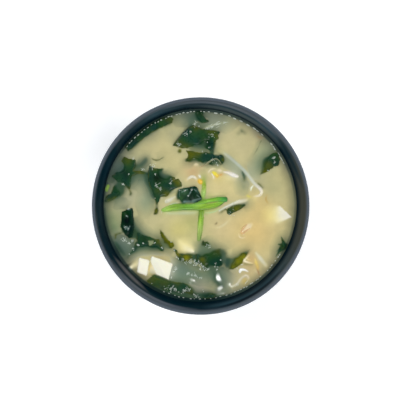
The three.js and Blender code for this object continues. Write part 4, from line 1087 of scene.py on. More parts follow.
# %% The sprouts and the beans
SPROUTS = [
    ("sprout_long", 1.8, (1.6, 2.1, 2.1, 2.1, 1.9, 1.8, 1.6, 1),
     [(200, 198, 166), (190, 194, 172), (180, 187, 174), (182, 190, 176), (204, 204, 184),
      (226, 218, 196), (226, 216, 184), (216, 204, 160)],
     [(9.6, 31.2, -1.9), (14.8, 28.2, -1), (20, 23.8, -0.95), (25.6, 18.4, -0.95), (30.4, 12.2, -0.8),
      (34.2, 8.4, -0.5), (33.6, 5.8, -0.5), (29.8, 4.9, -1.1)]),
    ("sprout_short", 1, (0.9, 1.2, 0.9), [(222, 220, 184), (230, 232, 204), (216, 212, 172)],
     [(29.9, 11.3, -0.6), (28.7, 9.7, -0.2), (28.4, 7.8, -0.7)]),
    ("sprout_head", 1.8, (1, 1.7, 2.3, 1.9),
     [(224, 212, 180), (230, 222, 200), (232, 228, 216), (224, 218, 200)],
     [(13, 18.7, -0.9), (15.5, 18.2, -0.5), (18.5, 17, -0.4), (21.7, 15.9, -0.7)]),
    ("sprout_middle_left", 1.4, (1.2, 1.7, 1.5, 1.1),
     [(212, 198, 158), (226, 220, 192), (222, 214, 184), (212, 198, 158)],
     [(-8.4, 13.4, -1.4), (-5, 15.9, -0.2), (-2.7, 15.4, -0.4), (-1.6, 13.8, -1.3)]),
    ("sprout_left", 1.4, (1.2, 2, 1.4), [(196, 198, 170), (214, 212, 186), (196, 196, 166)],
     [(-19.6, 1.3, -0.8), (-17.6, 2.4, -0.6), (-14, 3.2, -1.3)]),
    ("sprout_right_of_onion", 1.3, (0.7, 1.2, 1.4, 2, 2.4, 1.4),
     [(196, 200, 172), (210, 210, 184), (206, 206, 180), (214, 210, 186), (214, 208, 182),
      (206, 196, 160)],
     [(10.4, -3.3, -0.5), (14, -1.1, -0.3), (18.5, 0.9, -0.5), (21.5, 1.9, -0.6), (25, 2.7, -0.8),
      (27.8, 3.4, -1.4)]),
    ("sprout_lower_right", 1.6, (1.8, 2.5, 2.2), [(216, 206, 166), (214, 210, 184), (208, 200, 166)],
     [(30.8, -26, -1), (34, -30, -0.8), (37.6, -34.6, -1)]),
    ("sprout_loop", 1.2, (1, 1.4, 1.5, 1.4, 1.2),
     [(200, 196, 172), (204, 198, 172), (206, 196, 164), (214, 202, 168), (204, 190, 150)],
     [(17.2, -45.8, -0.6), (20.6, -44, -0.6), (23, -41, -0.6), (25.6, -39.3, -0.4), (27, -40.4, -0.6),
      (26.6, -42.4, -1.4)]),
    # Painted highlight: the hook's near-white tones paint the glare on its wet skin.
    ("sprout_hook", 1, (0.9, 1.6, 1.2, 0.8),
     [(240, 238, 228), (252, 252, 248), (244, 242, 230), (226, 218, 190)],
     [(22.2, -38, -0.3), (22.8, -36.2, 0), (24.8, -36.1, -0.1), (27.1, -37.2, -0.5)]),
    ("bean_pale_right", 1.4, (1.8, 3.5, 3.4, 1.6),
     [(222, 202, 154), (228, 210, 168), (222, 198, 152), (208, 170, 114)],
     [(29.6, -10, -1), (27.4, -11.8, -0.6), (24.8, -14, -0.6), (23, -16, -0.9)]),
    ("pale", 0.9, (1, 1.8, 1), [CREAM, (222, 208, 184), CREAM],
     [(9.6, 19.5, -1), (11, 19.4, -0.6), (12.8, 18.9, -1)]),
    ("pale", 0.7, (0.6, 0.8, 0.5), [CREAM, (224, 212, 178), CREAM],
     [(4.5, 18.2, -0.6), (6, 20, -0.4), (9.2, 20.8, -0.8)]),
    ("pale", 0.6, (0.6, 0.7, 0.5), [PALE, (234, 222, 190), CREAM],
     [(6.4, 17.8, -0.2), (7.4, 16.3, 0), (7.8, 14, -0.8)]),
    ("pale", 1, (1, 1.8, 1.8, 1.2), [PALE, PALE, PALE, CREAM],
     [(9.5, 14.5, -2.6), (13, 15.2, -1.9), (17, 14.4, -1.8), (20.4, 13.8, -2.6)]),
    ("pale", 1, (0.8, 1.4, 1), [PALE, PALE, CREAM],
     [(10.6, 16, -2), (14.5, 16, -1.5), (18, 15, -2)]),
    ("pale", 0.9, (0.8, 1.2, 0.8), [PALE, PALE, PALE],
     [(-0.9, 17, -0.8), (-0.1, 16.2, -0.3), (0.4, 15.2, -0.9)]),
    ("pale", 0.8, (1, 1.4, 0.8), [CREAM, PALE, CREAM],
     [(29.2, 2.2, -1.8), (30.4, 3.2, -1.3), (31.6, 4.2, -2)]),
    ("pale", 0.8, (1.2, 1.4, 1), [PALE, (216, 214, 190), (206, 204, 176)],
     [(-18.4, 2.3, -0.2), (-16, 3.6, -0.4), (-13.4, 5, -0.6)]),
    ("pale", 0.8, (0.6, 1, 1, 0.6), [CREAM, PALE, PALE, CREAM],
     [(4.6, 5.2, -1.8), (8, 5.9, -1.2), (11, 6.3, -1.2), (14.6, 6.4, -2)]),
    ("pale", 1.2, (1.8, 2.8, 2.8, 1.8),
     [(240, 240, 228), (206, 204, 176), (188, 184, 150), (184, 178, 140)],
     [(-19.6, 1.6, -0.7), (-16.8, 3.4, -0.9), (-13.8, 5.4, -1.1), (-11.6, 7.4, -1.8)]),
    # Painted sheen: the next four pale strands, along the onion's upper and lower edges, are the shine of
    # wet broth against the leaf.
    ("pale", 0.7, (0.6, 0.9, 0.8, 0.5), [CREAM, (186, 200, 160), (180, 196, 156), CREAM],
     [(-18.6, -1.1, -0.6), (-16.4, 0.3, -0.4), (-13.8, 1.1, -0.4), (-11.4, 1.2, -0.8)]),
    ("pale", 1.2, (1, 2.2, 2.2, 2.4, 2, 1),
     [PALE, (200, 208, 190), (200, 208, 190), (196, 210, 180), (186, 206, 160), CREAM],
     [(-20.6, -4.1, -2.2), (-16, -4, -2), (-9, -3.8, -2.1), (-1, -3.7, -2.1), (5, -3.4, -1.9),
      (10.4, -2.2, -2.2)]),
    ("pale", 0.5, (0.6, 1.5, 1.7, 1.6, 0.8), [(192, 200, 166)],
     [(-20.6, -3.7, -0.8), (-16.6, -4.5, -0.6), (-9.6, -4.3, -0.6), (-3.8, -4.2, -0.6),
      (-0.8, -3.4, -0.8)]),
    ("pale", 0.4, (0.3, 0.5, 0.5, 0.3), [(180, 206, 150)],
     [(2.6, -4.3, -0.4), (5.4, -4.1, -0.2), (8.4, -3.4, -0.2), (11.2, -1.6, -0.4)]),
    ("pale", 0.5, (0.8, 1.3, 1.3, 0.8), [(196, 200, 186)],
     [(1.4, 42.6, -1.1), (5, 44, -0.8), (10, 45.6, -0.8), (16.4, 46.6, -1.3)]),
    ("pale", 0.9, (0.6, 1, 1.3, 1.2, 0.7),
     [(226, 206, 158), (234, 220, 176), (238, 228, 190), (232, 216, 168), (222, 200, 150)],
     [(27.8, -27.6, -0.8), (26, -29.4, -0.45), (24.8, -31, -0.3), (26.9, -31.9, -0.35),
      (29.8, -32.7, -0.7)]),
    ("pale", 0.8, (0.8, 1, 0.6), [(228, 206, 150), (230, 212, 160), (216, 190, 130)],
     [(25.2, -29, -1), (26.8, -30.2, -0.7), (28.6, -30.6, -1.2)]),
    ("pale", 0.7, (0.5, 0.8, 0.8, 0.5),
     [(224, 204, 156), (230, 214, 168), (228, 208, 158), (216, 190, 140)],
     [(21.5, -15.6, -0.6), (22.3, -17.8, -0.3), (24.4, -18.2, -0.4), (27.2, -16.5, -0.9)]),
    ("pale", 1, (1.2, 2.2, 1.2), [CREAM, (206, 192, 160), CREAM],
     [(-3.6, 22.3, -1), (-2.2, 22.8, -0.6), (-0.6, 22.6, -1)]),
    ("pale", 0.8, (0.8, 1.1, 0.7), [(216, 206, 178), PALE, (216, 206, 178)],
     [(30.4, -35.4, -1.4), (31.6, -37, -1), (33.8, -38.6, -1.6)]),
    ("brown", 0.8, (0.8, 1.4, 1), [(206, 158, 84), (204, 150, 76), (212, 172, 100)],
     [(10.2, 16.5, -0.9), (11.8, 17.1, -0.7), (13.2, 17.6, -1.1)]),
    ("brown", 0.5, (0.4, 0.9, 0.7), [(206, 182, 120), (194, 164, 100), (198, 172, 110)],
     [(37.8, 6.2, -0.7), (36.8, 3.4, -0.35), (38.3, 0.8, -0.7)]),
    ("brown", 0.5, (0.4, 0.8, 0.7, 0.4), [(84, 90, 64)],
     [(34.4, 36.6, -0.5), (32, 31.4, -0.7), (29.6, 27.6, -0.9), (27.4, 24.6, -1.2)]),
    ("brown", 0.5, (0.5, 0.9, 0.5), [(136, 122, 84)],
     [(8.4, -10.8, -0.6), (9.1, -10.2, -0.3), (9.6, -9.5, -0.6)]),
    ("brown", 0.5, (0.4, 0.8, 0.5), [(164, 142, 102)],
     [(32, 39.4, -0.7), (33.2, 38, -0.5), (35.4, 37, -0.7)]),
    ("brown", 0.5, (0.3, 0.8, 0.6, 0.4), [(90, 96, 52)],
     [(-27.8, 26.8, -0.6), (-25.6, 25.4, -0.35), (-23, 25.4, -0.35), (-20, 27.2, -0.6)]),
    ("pale", 0.8, (0.6, 1.2, 1, 0.6), [(216, 206, 170)],
     [(17.4, -7, -0.9), (14, -10.4, -0.65), (10.4, -12.4, -0.65), (6.6, -12.4, -1)]),
    ("brown", 0.5, (0.4, 0.6, 0.5), [(220, 184, 134), (214, 172, 118), (216, 178, 124)],
     [(26.4, -10.6, 0), (24, -13, 0.2), (22.6, -15.6, -0.2)]),
    ("brown", 0.5, (0.4, 0.6, 0.5), [(220, 184, 134), (214, 172, 118), (216, 178, 124)],
     [(28, -12.8, 0), (25.4, -14.6, 0.2), (23.4, -16.4, -0.3)]),
    ("brown", 0.6, (0.5, 0.8, 0.5), [(176, 140, 96), (160, 120, 84), (170, 130, 92)],
     [(31.4, -35.4, -0.8), (32.6, -37.4, -0.5), (33.4, -39.6, -0.8)]),
    ("brown", 0.4, (0.3, 0.5, 0.5, 0.3),
     [(150, 146, 104), (150, 156, 124), (140, 146, 110), (120, 120, 80)],
     [(2.6, 22.4, 0.25), (5.6, 24.8, 0.5), (9.4, 25.9, 0.5), (12.2, 22.8, 0.2)]),
    ("brown", 0.4, (0.3, 0.4, 0.3), [(196, 168, 122), (150, 146, 104), (110, 120, 90)],
     [(-0.4, 21.2, -0.1), (3.6, 22.8, 0.3), (6.6, 25, 0.5)]),
]
BEANS = [
    ("bean_yellow_top", 1.3, (1.2, 2.1, 1.8, 1),
     [(222, 206, 70), (226, 208, 66), (228, 196, 70), (222, 190, 100)],
     [(6.9, 18.8, -0.5), (8.4, 17.6, -0.3), (9.6, 16.4, -0.5), (9.2, 15, -1.2)]),
    ("bean_yellow_middle", 1.8, (2, 2.9, 2), [(226, 192, 84), (228, 184, 52), (220, 178, 62)],
     [(-1.1, 14.4, -1), (0.1, 13.2, -0.5), (1.1, 11.8, -1.1)]),
    ("bean_yellow_right", 1.2, (0.8, 1.8, 1.8, 0.9),
     [(220, 198, 138), (222, 198, 112), (218, 190, 112), (206, 174, 112)],
     [(30.6, -29.6, -0.9), (31.3, -31.8, -0.5), (32.1, -34, -0.5), (32.6, -36.4, -1)]),
    ("yellow", 0.9, (0.8, 1.2, 0.6), [(214, 204, 120), (218, 210, 112), (214, 200, 120)],
     [(25.9, 5.6, -0.9), (27.2, 5, -0.6), (29, 4.5, -0.9)]),
    ("yellow", 1, (1.4, 2.2, 1.4), [(204, 184, 100), (210, 186, 90), (204, 184, 100)],
     [(24.8, -40.4, -1.7), (24.8, -42.4, -1.3), (23.6, -44.4, -1.8)]),
    ("yellow", 0.8, (0.8, 1.2, 0.8), [(226, 200, 104), (228, 202, 100), (220, 196, 120)],
     [(7.2, 15.2, -1), (8, 14.4, -0.9), (8.2, 13.4, -1.6)]),
]


# %% Wet plant skin
def skin_material(name, glow, roughness):
    """A wet skin that takes its colour from the strand and lets some light in."""
    made, tree, shader = new_material(name)
    tint = point_colour(tree)
    grain = speckle(tree, 0.7, 3)
    colour = mixed(tree, between(tree, grain, 0.4, 0.7, 0, 0.8), tint, toned(tree, tint, 1.12, 0.9))
    dress(tree, shader, Base_Color=colour, Normal=bumped(tree, grain, 0.05), Roughness=roughness, IOR=1.36,
          Subsurface_Weight=glow, Subsurface_Radius=(0.9, 1.0, 0.6), Subsurface_Scale=0.0006)
    return made


def settle_strands(lines, finish, slot, blunt, streaks):
    """The strands of one kind: one piece for each node, and one for each kind of loose bit."""
    pieces = {}
    for seed, (name, thick, widths, tones, path) in enumerate(lines):
        made = strand_arrays(path, widths, thick, tones, seed + 1, blunt, streaks)
        sheets.append(made)
        pieces.setdefault(name, []).append(made)
    for name, parts in pieces.items():
        nodes = [name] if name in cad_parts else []
        settle(name + "_strand", make_mesh(name, *joined(parts)), finish, slot, *nodes)
    print(slot, "strands:", len(lines), "in", len(pieces), "pieces")


settle_strands(ONION, skin_material("onion_skin", 0.2, 0.28), "onion", 0.6, 0.17)
settle_strands(SPROUTS, skin_material("sprout_skin", 0.25, 0.2), "sprout", 0.2, 0.04)
settle_strands(BEANS, skin_material("bean_skin", 0.25, 0.25), "bean", 0.0, 0.05)

# %% [markdown]
# ## Looking down through the broth
# Miso is a suspension, so it works like fog. Its grains are small, so a thin layer of it scatters blue
# first: a dark leaf one millimetre down looks teal, and at four millimetres most of it is gone and its edge
# has spread as wide as it is deep. The broth itself is a little yellow, so white tofu yellows on the way
# down. Light also wanders sideways, and what wanders into a dark leaf is lost, so each leaf has a dim halo.
# All of that follows from one thing, the depth of what lies under each point. So a ray is sent straight
# down from each cell of a fine raster, and the fog is worked out from where it lands.

# %% Depth raster
CELL = 0.3
FOG_LENGTH = np.array([6.6, 4.1, 2.7])
TINT_LENGTH = np.array([60.0, 15.0, 1.8])
RAY_START = LEVEL + 9
reach = math.ceil((BROTH_RADIUS + 1) / CELL)
ticks = np.arange(-reach, reach + 1) * CELL
grid_x, grid_y = np.meshgrid(ticks, ticks)
inside = np.hypot(grid_x, grid_y) < BROTH_RADIUS + 1
every = joined(sheets)
face_colours = np.array([every[2][list(f)].mean(axis=0) for f in every[1]])
below = BVHTree.FromPolygons(every[0].tolist(), every[1])
depth = np.full(grid_x.shape, np.inf)
found = np.zeros((*grid_x.shape, 3))
for row, column in zip(*np.nonzero(inside)):
    hit, _, face, _ = below.ray_cast((grid_x[row, column], grid_y[row, column], RAY_START), (0, 0, -1))
    if hit is not None:
        depth[row, column] = max(0.0, LEVEL - hit[2])
        found[row, column] = face_colours[face]
print(f"{np.isfinite(depth)[inside].mean() * 100:.0f}% of the surface has something under it")

# %% [markdown]
# The broth's colour isn't even. Miso settles into soft clouds, warmer where the tofu and the sprouts
# lie and greener where much wakame has sunk deep. Each cloud is a place, a reach, a colour and a strength.
# The darker grey clouds by the wall are painted shade, and the small bright yellow cloud between two tofu
# blocks paints the shaded side of a sunk block. Near the wall the light fails, and the last millimetre is
# darkest away from the lamps: behind and in front of the bowl, not on its left and right.

# %% Clouds of miso
BROTH_CREAM = paint(198, 188, 136)
CLOUDS = [
    (-27, 31, 9, 192, 182, 134, 0.8), (-15, 19, 8, 196, 186, 134, 0.8), (-35, 6, 6, 174, 172, 136, 0.9),
    (-50, -7, 7, 140, 152, 110, 0.9), (-48, -13, 4, 114, 138, 98, 0.8), (-29, -9, 9, 184, 177, 132, 0.8),
    (-4, -10, 7, 178, 177, 114, 0.9), (-12, -14, 6, 200, 190, 122, 0.9), (13, -12, 9, 202, 186, 138, 0.9),
    (30, -14, 13, 214, 188, 126, 1), (34, 1, 8, 208, 184, 122, 0.9), (12, 10, 9, 212, 196, 140, 0.9),
    (-4, 19, 5, 196, 168, 122, 0.9), (22, 34, 10, 192, 183, 138, 0.8), (40, 10, 8, 180, 175, 128, 0.8),
    (16, -41, 8, 160, 156, 126, 0.9), (29, -36, 7, 196, 176, 128, 0.8), (-22, -28, 6, 182, 168, 120, 0.8),
    (-34, -41, 6, 146, 132, 98, 0.8), (-44, 28, 9, 146, 148, 122, 0.7), (8, 48, 9, 150, 146, 130, 0.7),
    (-50, 14, 8, 116, 126, 110, 0.8), (28, -30, 4, 206, 170, 112, 0.7), (-10, -31, 6, 130, 138, 112, 0.6),
    (-8, 50, 5, 124, 134, 118, 0.8), (-42, -24, 6, 138, 142, 120, 0.9), (-40, -32, 4, 96, 96, 76, 0.9),
    (-46, 0, 4, 150, 152, 122, 0.7), (-40, 2, 4, 160, 160, 134, 0.7), (0, -45.4, 4, 160, 154, 132, 1),
    (-26.8, -35.8, 2.6, 228, 202, 120, 1), (42, 34, 6, 150, 146, 120, 0.6),
    (-32, 22, 5, 146, 148, 120, 0.8), (-33, 15, 3.6, 140, 148, 120, 0.7),
    (-45, -19, 3.4, 156, 160, 142, 0.9), (-27.5, -21, 2, 150, 158, 110, 0.9),
    (-44.5, 21.5, 3, 156, 164, 150, 0.9), (-52, 22, 3, 132, 132, 112, 0.7),
    (-2, -45, 3.4, 168, 162, 140, 0.7), (24, 49, 4, 138, 138, 118, 0.6), (33, 14, 4, 168, 164, 128, 0.7),
    (4, -50, 4, 108, 116, 102, 0.9), (42, -33, 5, 150, 140, 108, 0.7), (33, 41, 5, 150, 142, 116, 0.7),
    (-27, 39, 5, 150, 148, 118, 0.6), (50, 22, 4, 140, 136, 120, 0.5), (-40, -14, 4, 120, 124, 92, 0.6),
    (-10, -36, 4, 158, 156, 136, 0.7), (28, 22, 4, 164, 160, 126, 0.7), (-15, 40, 5, 166, 164, 128, 0.7),
]
SHADE_TAKES = np.array([0.74, 0.66, 0.58])
SHADE_WIDTH, LAST_SHADE_WIDTH = 6, 0.6
EDGE_SHADE = {
    0: 0.2, 20: 0.7, 45: 1.1, 120: 1.1, 138: 1, 152: 0.1, 180: 0,
    210: 1.1, 240: 1.3, 270: 1.5, 300: 1.2, 330: 0.6, 360: 0.2,
}


def broth_colour(x, y):
    """The broth with nothing near the surface, at places given as arrays."""
    colour = np.tile(BROTH_CREAM, (*x.shape, 1))
    for cloud_x, cloud_y, reach, *tone, strength in CLOUDS:
        share = strength * bell(x - cloud_x, y - cloud_y, reach)
        colour += (paint(*tone) - colour) * share[..., None]
    # Painted shade by the wall, a little stronger on the left.
    to_left = 0.5 - 0.5 * x / BROTH_RADIUS
    inwards = np.hypot(x, y) - (BROTH_RADIUS - SHADE_WIDTH)
    shade = np.clip(inwards / SHADE_WIDTH, 0, 1) ** 1.4 * (0.75 + 0.35 * to_left)
    return colour * (1 - SHADE_TAKES * shade[..., None])


def last_shade(x, y):
    """How dark the last millimetre before the wall is, from the directions in EDGE_SHADE, in degrees."""
    direction = np.degrees(np.arctan2(y, x)) % 360
    dark = np.interp(direction, list(EDGE_SHADE), list(EDGE_SHADE.values()))
    start = BROTH_RADIUS - 0.8 - 0.6 * dark
    return np.clip((np.hypot(x, y) - start) / LAST_SHADE_WIDTH, 0, 1) * (0.4 + 0.6 * dark)


# %% Fog and blur
NEARBY = 0.8
BLUR_STEPS = [0.0, 0.35, 0.8, 1.6, 2.6]
BLUR_FOR_DEPTH = 1.2
SHARP_DOWN_TO = 0.5
HALO_REACH = 2.6
HALO_TAKES = np.array([0.50, 0.36, 0.24])


def blurred(field, sigma):
    """A field smoothed by a bell curve of sigma millimetres, first along rows and then along columns."""
    span = max(1, math.ceil(3 * sigma / CELL))
    weights = np.exp(-0.5 * ((np.arange(-span, span + 1) * CELL) / sigma) ** 2)
    weights /= weights.sum()
    for axis in (0, 1):
        padding = [(span, span) if k == axis else (0, 0) for k in range(field.ndim)]
        padded = np.pad(field, padding, mode="edge")
        count = field.shape[axis]
        field = sum(w * np.take(padded, range(i, i + count), axis=axis) for i, w in enumerate(weights))
    return field


hidden = np.isfinite(depth)
places = np.column_stack([grid_x.ravel(), grid_y.ravel(), np.zeros(grid_x.size)])
thicker = 1 + 0.4 * ripple(places, 5.0, 31).reshape(grid_x.shape)
sunk_by = np.where(hidden, depth * thicker, 0.0)
clear = np.where(hidden[..., None], np.exp(-sunk_by[..., None] / FOG_LENGTH), 0.0)
plain = broth_colour(grid_x, grid_y)
sharp = plain * (1 - clear) + found * clear * np.exp(-sunk_by[..., None] / TINT_LENGTH)
nearby = blurred(hidden.astype(float), NEARBY) + 1e-6
typical_depth = blurred(sunk_by * hidden, NEARBY) / nearby
layers = [sharp] + [blurred(sharp, s) for s in BLUR_STEPS[1:]]
shallow = np.where(hidden, np.clip(sunk_by / SHARP_DOWN_TO, 0, 1), 1.0)
blur_depth = np.where(hidden, np.minimum(typical_depth, 1.3 * sunk_by), typical_depth)
wanted = np.clip(BLUR_FOR_DEPTH * blur_depth * shallow, 0, BLUR_STEPS[-1])
seen = layers[-1].copy()
for k in range(len(BLUR_STEPS) - 1):
    low, high = BLUR_STEPS[k], BLUR_STEPS[k + 1]
    share = ((wanted - low) / (high - low))[..., None]
    mask = ((wanted >= low) & (wanted < high))[..., None]
    seen = np.where(mask, layers[k] * (1 - share) + layers[k + 1] * share, seen)
darkness = hidden * clear[..., 1] * np.clip(1 - found.sum(axis=2) / plain.sum(axis=2), 0, 1) ** 1.5
halo = blurred(darkness, HALO_REACH)
seen *= 1 - halo[..., None] * HALO_TAKES * (1 - clear[..., 1:2])
seen *= 1 - SHADE_TAKES * last_shade(grid_x, grid_y)[..., None]
print("typical depth of what shows through:", round(float(sunk_by[hidden].mean()), 2), "mm")

# %% [markdown]
# ## The broth's surface
# The surface is a disc of even triangles, ring by ring, each ring with six points more than the last. It
# climbs a little at the wall and at whatever sticks out of it, as water does, and it runs just into the
# wall so that no gap shows. Each point takes the colour that the raster found below it.

# %% The disc
RING_STEP = 0.4
IN_WALL = 0.25
level_depth = (LIP_CENTRE - LEVEL) / (LIP_CENTRE - INNER_WALL["floor"])
surface_radius = wall_point(INNER_WALL, level_depth)[0] + IN_WALL
rings = round(surface_radius / RING_STEP)
disc = [(0.0, 0.0)]
for k in range(1, rings + 1):
    radius = surface_radius * k / rings
    angles = np.linspace(0, 2 * math.pi, 6 * k, endpoint=False)
    disc += [(radius * math.cos(a), radius * math.sin(a)) for a in angles]
disc = np.array(disc)


def ring_start(k):
    """The number of a ring's first point."""
    return 0 if k == 0 else 1 + 3 * k * (k - 1)


disc_faces = [(0, 1 + i, 1 + (i + 1) % 6) for i in range(6)]
for k in range(2, rings + 1):
    outer, inner = ring_start(k), ring_start(k - 1)
    for i in range(6 * k):
        sector, place = divmod(i, k)
        in_a = inner + (sector * (k - 1) + place) % (6 * (k - 1))
        out_a, out_b = outer + i, outer + (i + 1) % (6 * k)
        disc_faces.append((in_a, out_a, out_b))
        if place < k - 1:
            in_b = inner + (sector * (k - 1) + place + 1) % (6 * (k - 1))
            disc_faces.append((in_a, out_b, in_b))
print(len(disc), "points and", len(disc_faces), "triangles")


# %% Colours, meniscus and the body below
def raster_at(field, places):
    """A raster field read between its cells."""
    u = (places[:, 0] - ticks[0]) / CELL
    v = (places[:, 1] - ticks[0]) / CELL
    i, j = (np.floor(at).astype(int).clip(0, len(ticks) - 2) for at in (v, u))
    a, b = v - i, u - j
    if field.ndim == 3:
        a, b = a[:, None], b[:, None]
    top = field[i, j] * (1 - b) + field[i, j + 1] * b
    low = field[i + 1, j] * (1 - b) + field[i + 1, j + 1] * b
    return top * (1 - a) + low * a


MENISCUS_RISE, MENISCUS_REACH = 0.55, 3.4
PIECE_RISE = 0.22
WALL_STEPS = 10


def meniscus(to_wall):
    """How far the broth climbs at a distance from the wall."""
    return MENISCUS_RISE * np.clip(1 - to_wall / MENISCUS_REACH, 0, 1) ** 3


surface = LEVEL + meniscus(np.clip(surface_radius - IN_WALL - np.hypot(*disc.T), 0, None))
surface += PIECE_RISE * raster_at(blurred((depth <= 0).astype(float), 0.5), disc)
broth_points = [(*p, z) for p, z in zip(disc, surface)]
broth_faces = list(disc_faces)
side_count = 6 * rings
angles = np.linspace(0, 2 * math.pi, side_count, endpoint=False)
upper = ring_start(rings)
turn = math.asin(level_depth)
for k in range(1, WALL_STEPS):
    radius, height = wall_point(INNER_WALL, math.sin(turn + (math.pi / 2 - turn) * k / WALL_STEPS))
    radius += IN_WALL
    lower = len(broth_points)
    broth_points += [(radius * math.cos(a), radius * math.sin(a), height) for a in angles]
    broth_faces += band(lower, upper, side_count)
    upper = lower
broth_points.append((0, 0, INNER_WALL["floor"]))
broth_faces += [(upper + i, len(broth_points) - 1, upper + (i + 1) % side_count) for i in range(side_count)]
tints = np.tile(BROTH_CREAM, (len(broth_points), 1))
tints[: len(disc)] = raster_at(seen, disc)


# %% Broth finish
WATER_IOR = 1.33


def broth_material():
    made, tree, shader = new_material("cloudy_broth")
    tint = point_colour(tree)
    colour = mixed(tree, between(tree, speckle(tree, 6, 4), 0.35, 0.65), tint, toned(tree, tint, 0.9))
    dress(tree, shader, Base_Color=colour, Roughness=0.03, IOR=WATER_IOR)
    return made


broth_mesh = make_mesh("miso_broth", broth_points, broth_faces, tints)
settle("miso_broth", broth_mesh, broth_material(), "broth", "broth")

# %% [markdown]
# ## Bubbles and froth
# Foam gathers where the liquid is held: along the wall, in the folds of a leaf and against the tofu. Each
# bubble is a low dome that sits on whatever is uppermost and takes half its colour from it. Arcs along the
# wall are given by two angles, a count, a length and a width. Clusters are given by a place, a spread, a
# count and a size, and streaks, where bubbles have run together, by a length and a direction instead.

# %% Where the foam is
WALL_ARCS = [
    (142, 128, 6, 1.5, 0.7), (127, 92, 15, 1.3, 0.7), (90, 84, 3, 1.2, 0.6), (82, 58, 6, 2.2, 0.8),
    (56, 47, 3, 2.8, 0.8), (41, 36, 3, 2.2, 0.9), (34, 26, 4, 2.6, 0.6), (-30, -46, 6, 1.2, 0.6),
    (-48, -74, 12, 1.3, 0.45), (-76, -114, 12, 1.1, 0.5),
]
CLUSTERS = [
    (-8.2, 40, 1.3, 9, 0.7), (-5.4, 41.1, 0.7, 5, 0.6), (-12, 34, 1.4, 9, 0.8), (-3, 45.4, 1.6, 9, 0.7),
    (-1.2, 44.4, 0.9, 4, 0.6), (6.8, 39, 1.6, 7, 0.6), (4.2, 35.4, 0.3, 2, 0.9), (5.2, 32.3, 0.6, 4, 0.7),
    (7.4, 25.7, 1.4, 6, 0.6), (9.3, 23.3, 1, 4, 0.8), (3.1, 28.8, 0.3, 2, 0.7), (1.4, 30.2, 0.3, 2, 0.7),
    (41.2, 26.4, 0.9, 8, 0.8), (41.6, 24, 0.9, 5, 0.7), (38, 19.6, 0.6, 4, 0.8), (-37.4, 26, 0.9, 6, 0.7),
    (-39.8, 17.4, 0.4, 2, 0.9), (-43.4, 11.8, 0.8, 6, 0.6), (-32, 19.8, 0.8, 5, 0.6),
    (-26.4, 21.8, 1.2, 7, 0.7), (-26.6, 20, 0.3, 2, 0.6), (-25, 17.3, 0.7, 6, 0.7),
    (-24.4, 11.6, 1, 8, 0.6), (-22.2, 9.4, 1, 7, 0.6), (-16.4, 12.7, 0.8, 6, 0.6), (-25, 4, 0.3, 1, 0.7),
    (-10.5, 9.4, 1.4, 6, 0.5), (-8.6, 8.1, 0.9, 5, 0.6), (-6.8, 5.7, 0.5, 3, 0.9), (-4.6, 8.6, 1, 5, 0.6),
    (-40.2, -2, 0.6, 4, 0.8), (-41, -6, 0.3, 2, 0.7), (-41.6, -12.2, 0.6, 4, 0.7),
    (-40.4, -13, 0.8, 4, 0.6), (-43, -18.5, 0.8, 5, 0.6), (-41.6, -20.2, 1.2, 7, 0.6),
    (-39.4, -21.6, 0.7, 4, 0.6), (-38, -19.6, 0.6, 4, 0.7), (-37.3, -24.4, 0.8, 5, 0.7),
    (-39.6, -27.2, 0.7, 5, 0.6), (-34.6, -22.3, 0.3, 2, 1.4), (-31.6, -21.2, 0.3, 2, 1.1),
    (-25.5, -21.4, 0.4, 2, 1), (-21.2, -23.6, 0.6, 4, 0.8), (-16, -20.8, 0.4, 2, 0.7),
    (-14.5, -25.3, 0.6, 3, 0.7), (-12.8, -29.2, 0.9, 5, 0.7), (-9.6, -30.4, 1, 5, 0.7),
    (-8, -32.4, 1, 5, 0.6), (-4.6, -30, 0.8, 5, 0.8), (-5.6, -32.6, 0.6, 4, 0.8),
    (-2.6, -33.2, 1.1, 7, 0.9), (-1.2, -31.4, 0.7, 4, 0.8), (0.2, -33, 0.8, 5, 0.7),
    (1.4, -34.2, 0.7, 5, 0.7), (0, -35.8, 0.7, 5, 0.9), (2.6, -36, 0.7, 5, 0.7), (4.2, -35.9, 0.5, 3, 1),
    (8.8, -32.6, 0.4, 3, 0.7), (9.2, -34.2, 0.8, 5, 0.6), (9.5, -35.7, 0.4, 3, 0.9),
    (11.5, -30.6, 0.4, 3, 0.9), (-13.4, -35.6, 0.9, 7, 0.8), (-14.6, -37.2, 0.6, 4, 0.7),
    (-15.8, -40.3, 0.4, 2, 0.7), (-7.2, -38.6, 0.9, 6, 0.6), (-4.4, -38.8, 0.7, 5, 0.7),
    (-2, -39.6, 0.8, 5, 0.6), (0.6, -40.6, 0.7, 5, 0.6), (-27.5, -44, 0.6, 3, 0.6),
    (-19.4, -46.6, 1, 6, 0.6), (-16.4, -46.8, 1.4, 12, 0.7), (-14, -46.8, 0.7, 5, 0.7),
    (-12, -48.5, 0.5, 3, 0.8), (-9.6, -48.6, 1, 6, 0.7), (-8.6, -47.4, 0.9, 7, 0.7),
    (-6, -47, 0.8, 7, 0.7), (-3.6, -50, 0.5, 3, 0.8), (-1.8, -50.9, 0.9, 5, 0.8), (3.6, -22.8, 1, 6, 0.7),
    (18.6, -2.4, 0.5, 3, 0.5), (16.4, -4.8, 0.5, 4, 0.6), (18.6, -5.6, 0.7, 3, 0.5),
    (23.6, -33.2, 0.5, 4, 0.8), (20.7, -35.4, 0.4, 3, 0.8), (4.6, 43.3, 1.2, 4, 0.5),
    (8.4, 44.6, 1.2, 3, 0.5), (13.6, 46, 1.6, 3, 0.5), (1.8, -48, 0.5, 2, 0.6),
    (-20.6, -3.8, 1.2, 4, 0.5),
]
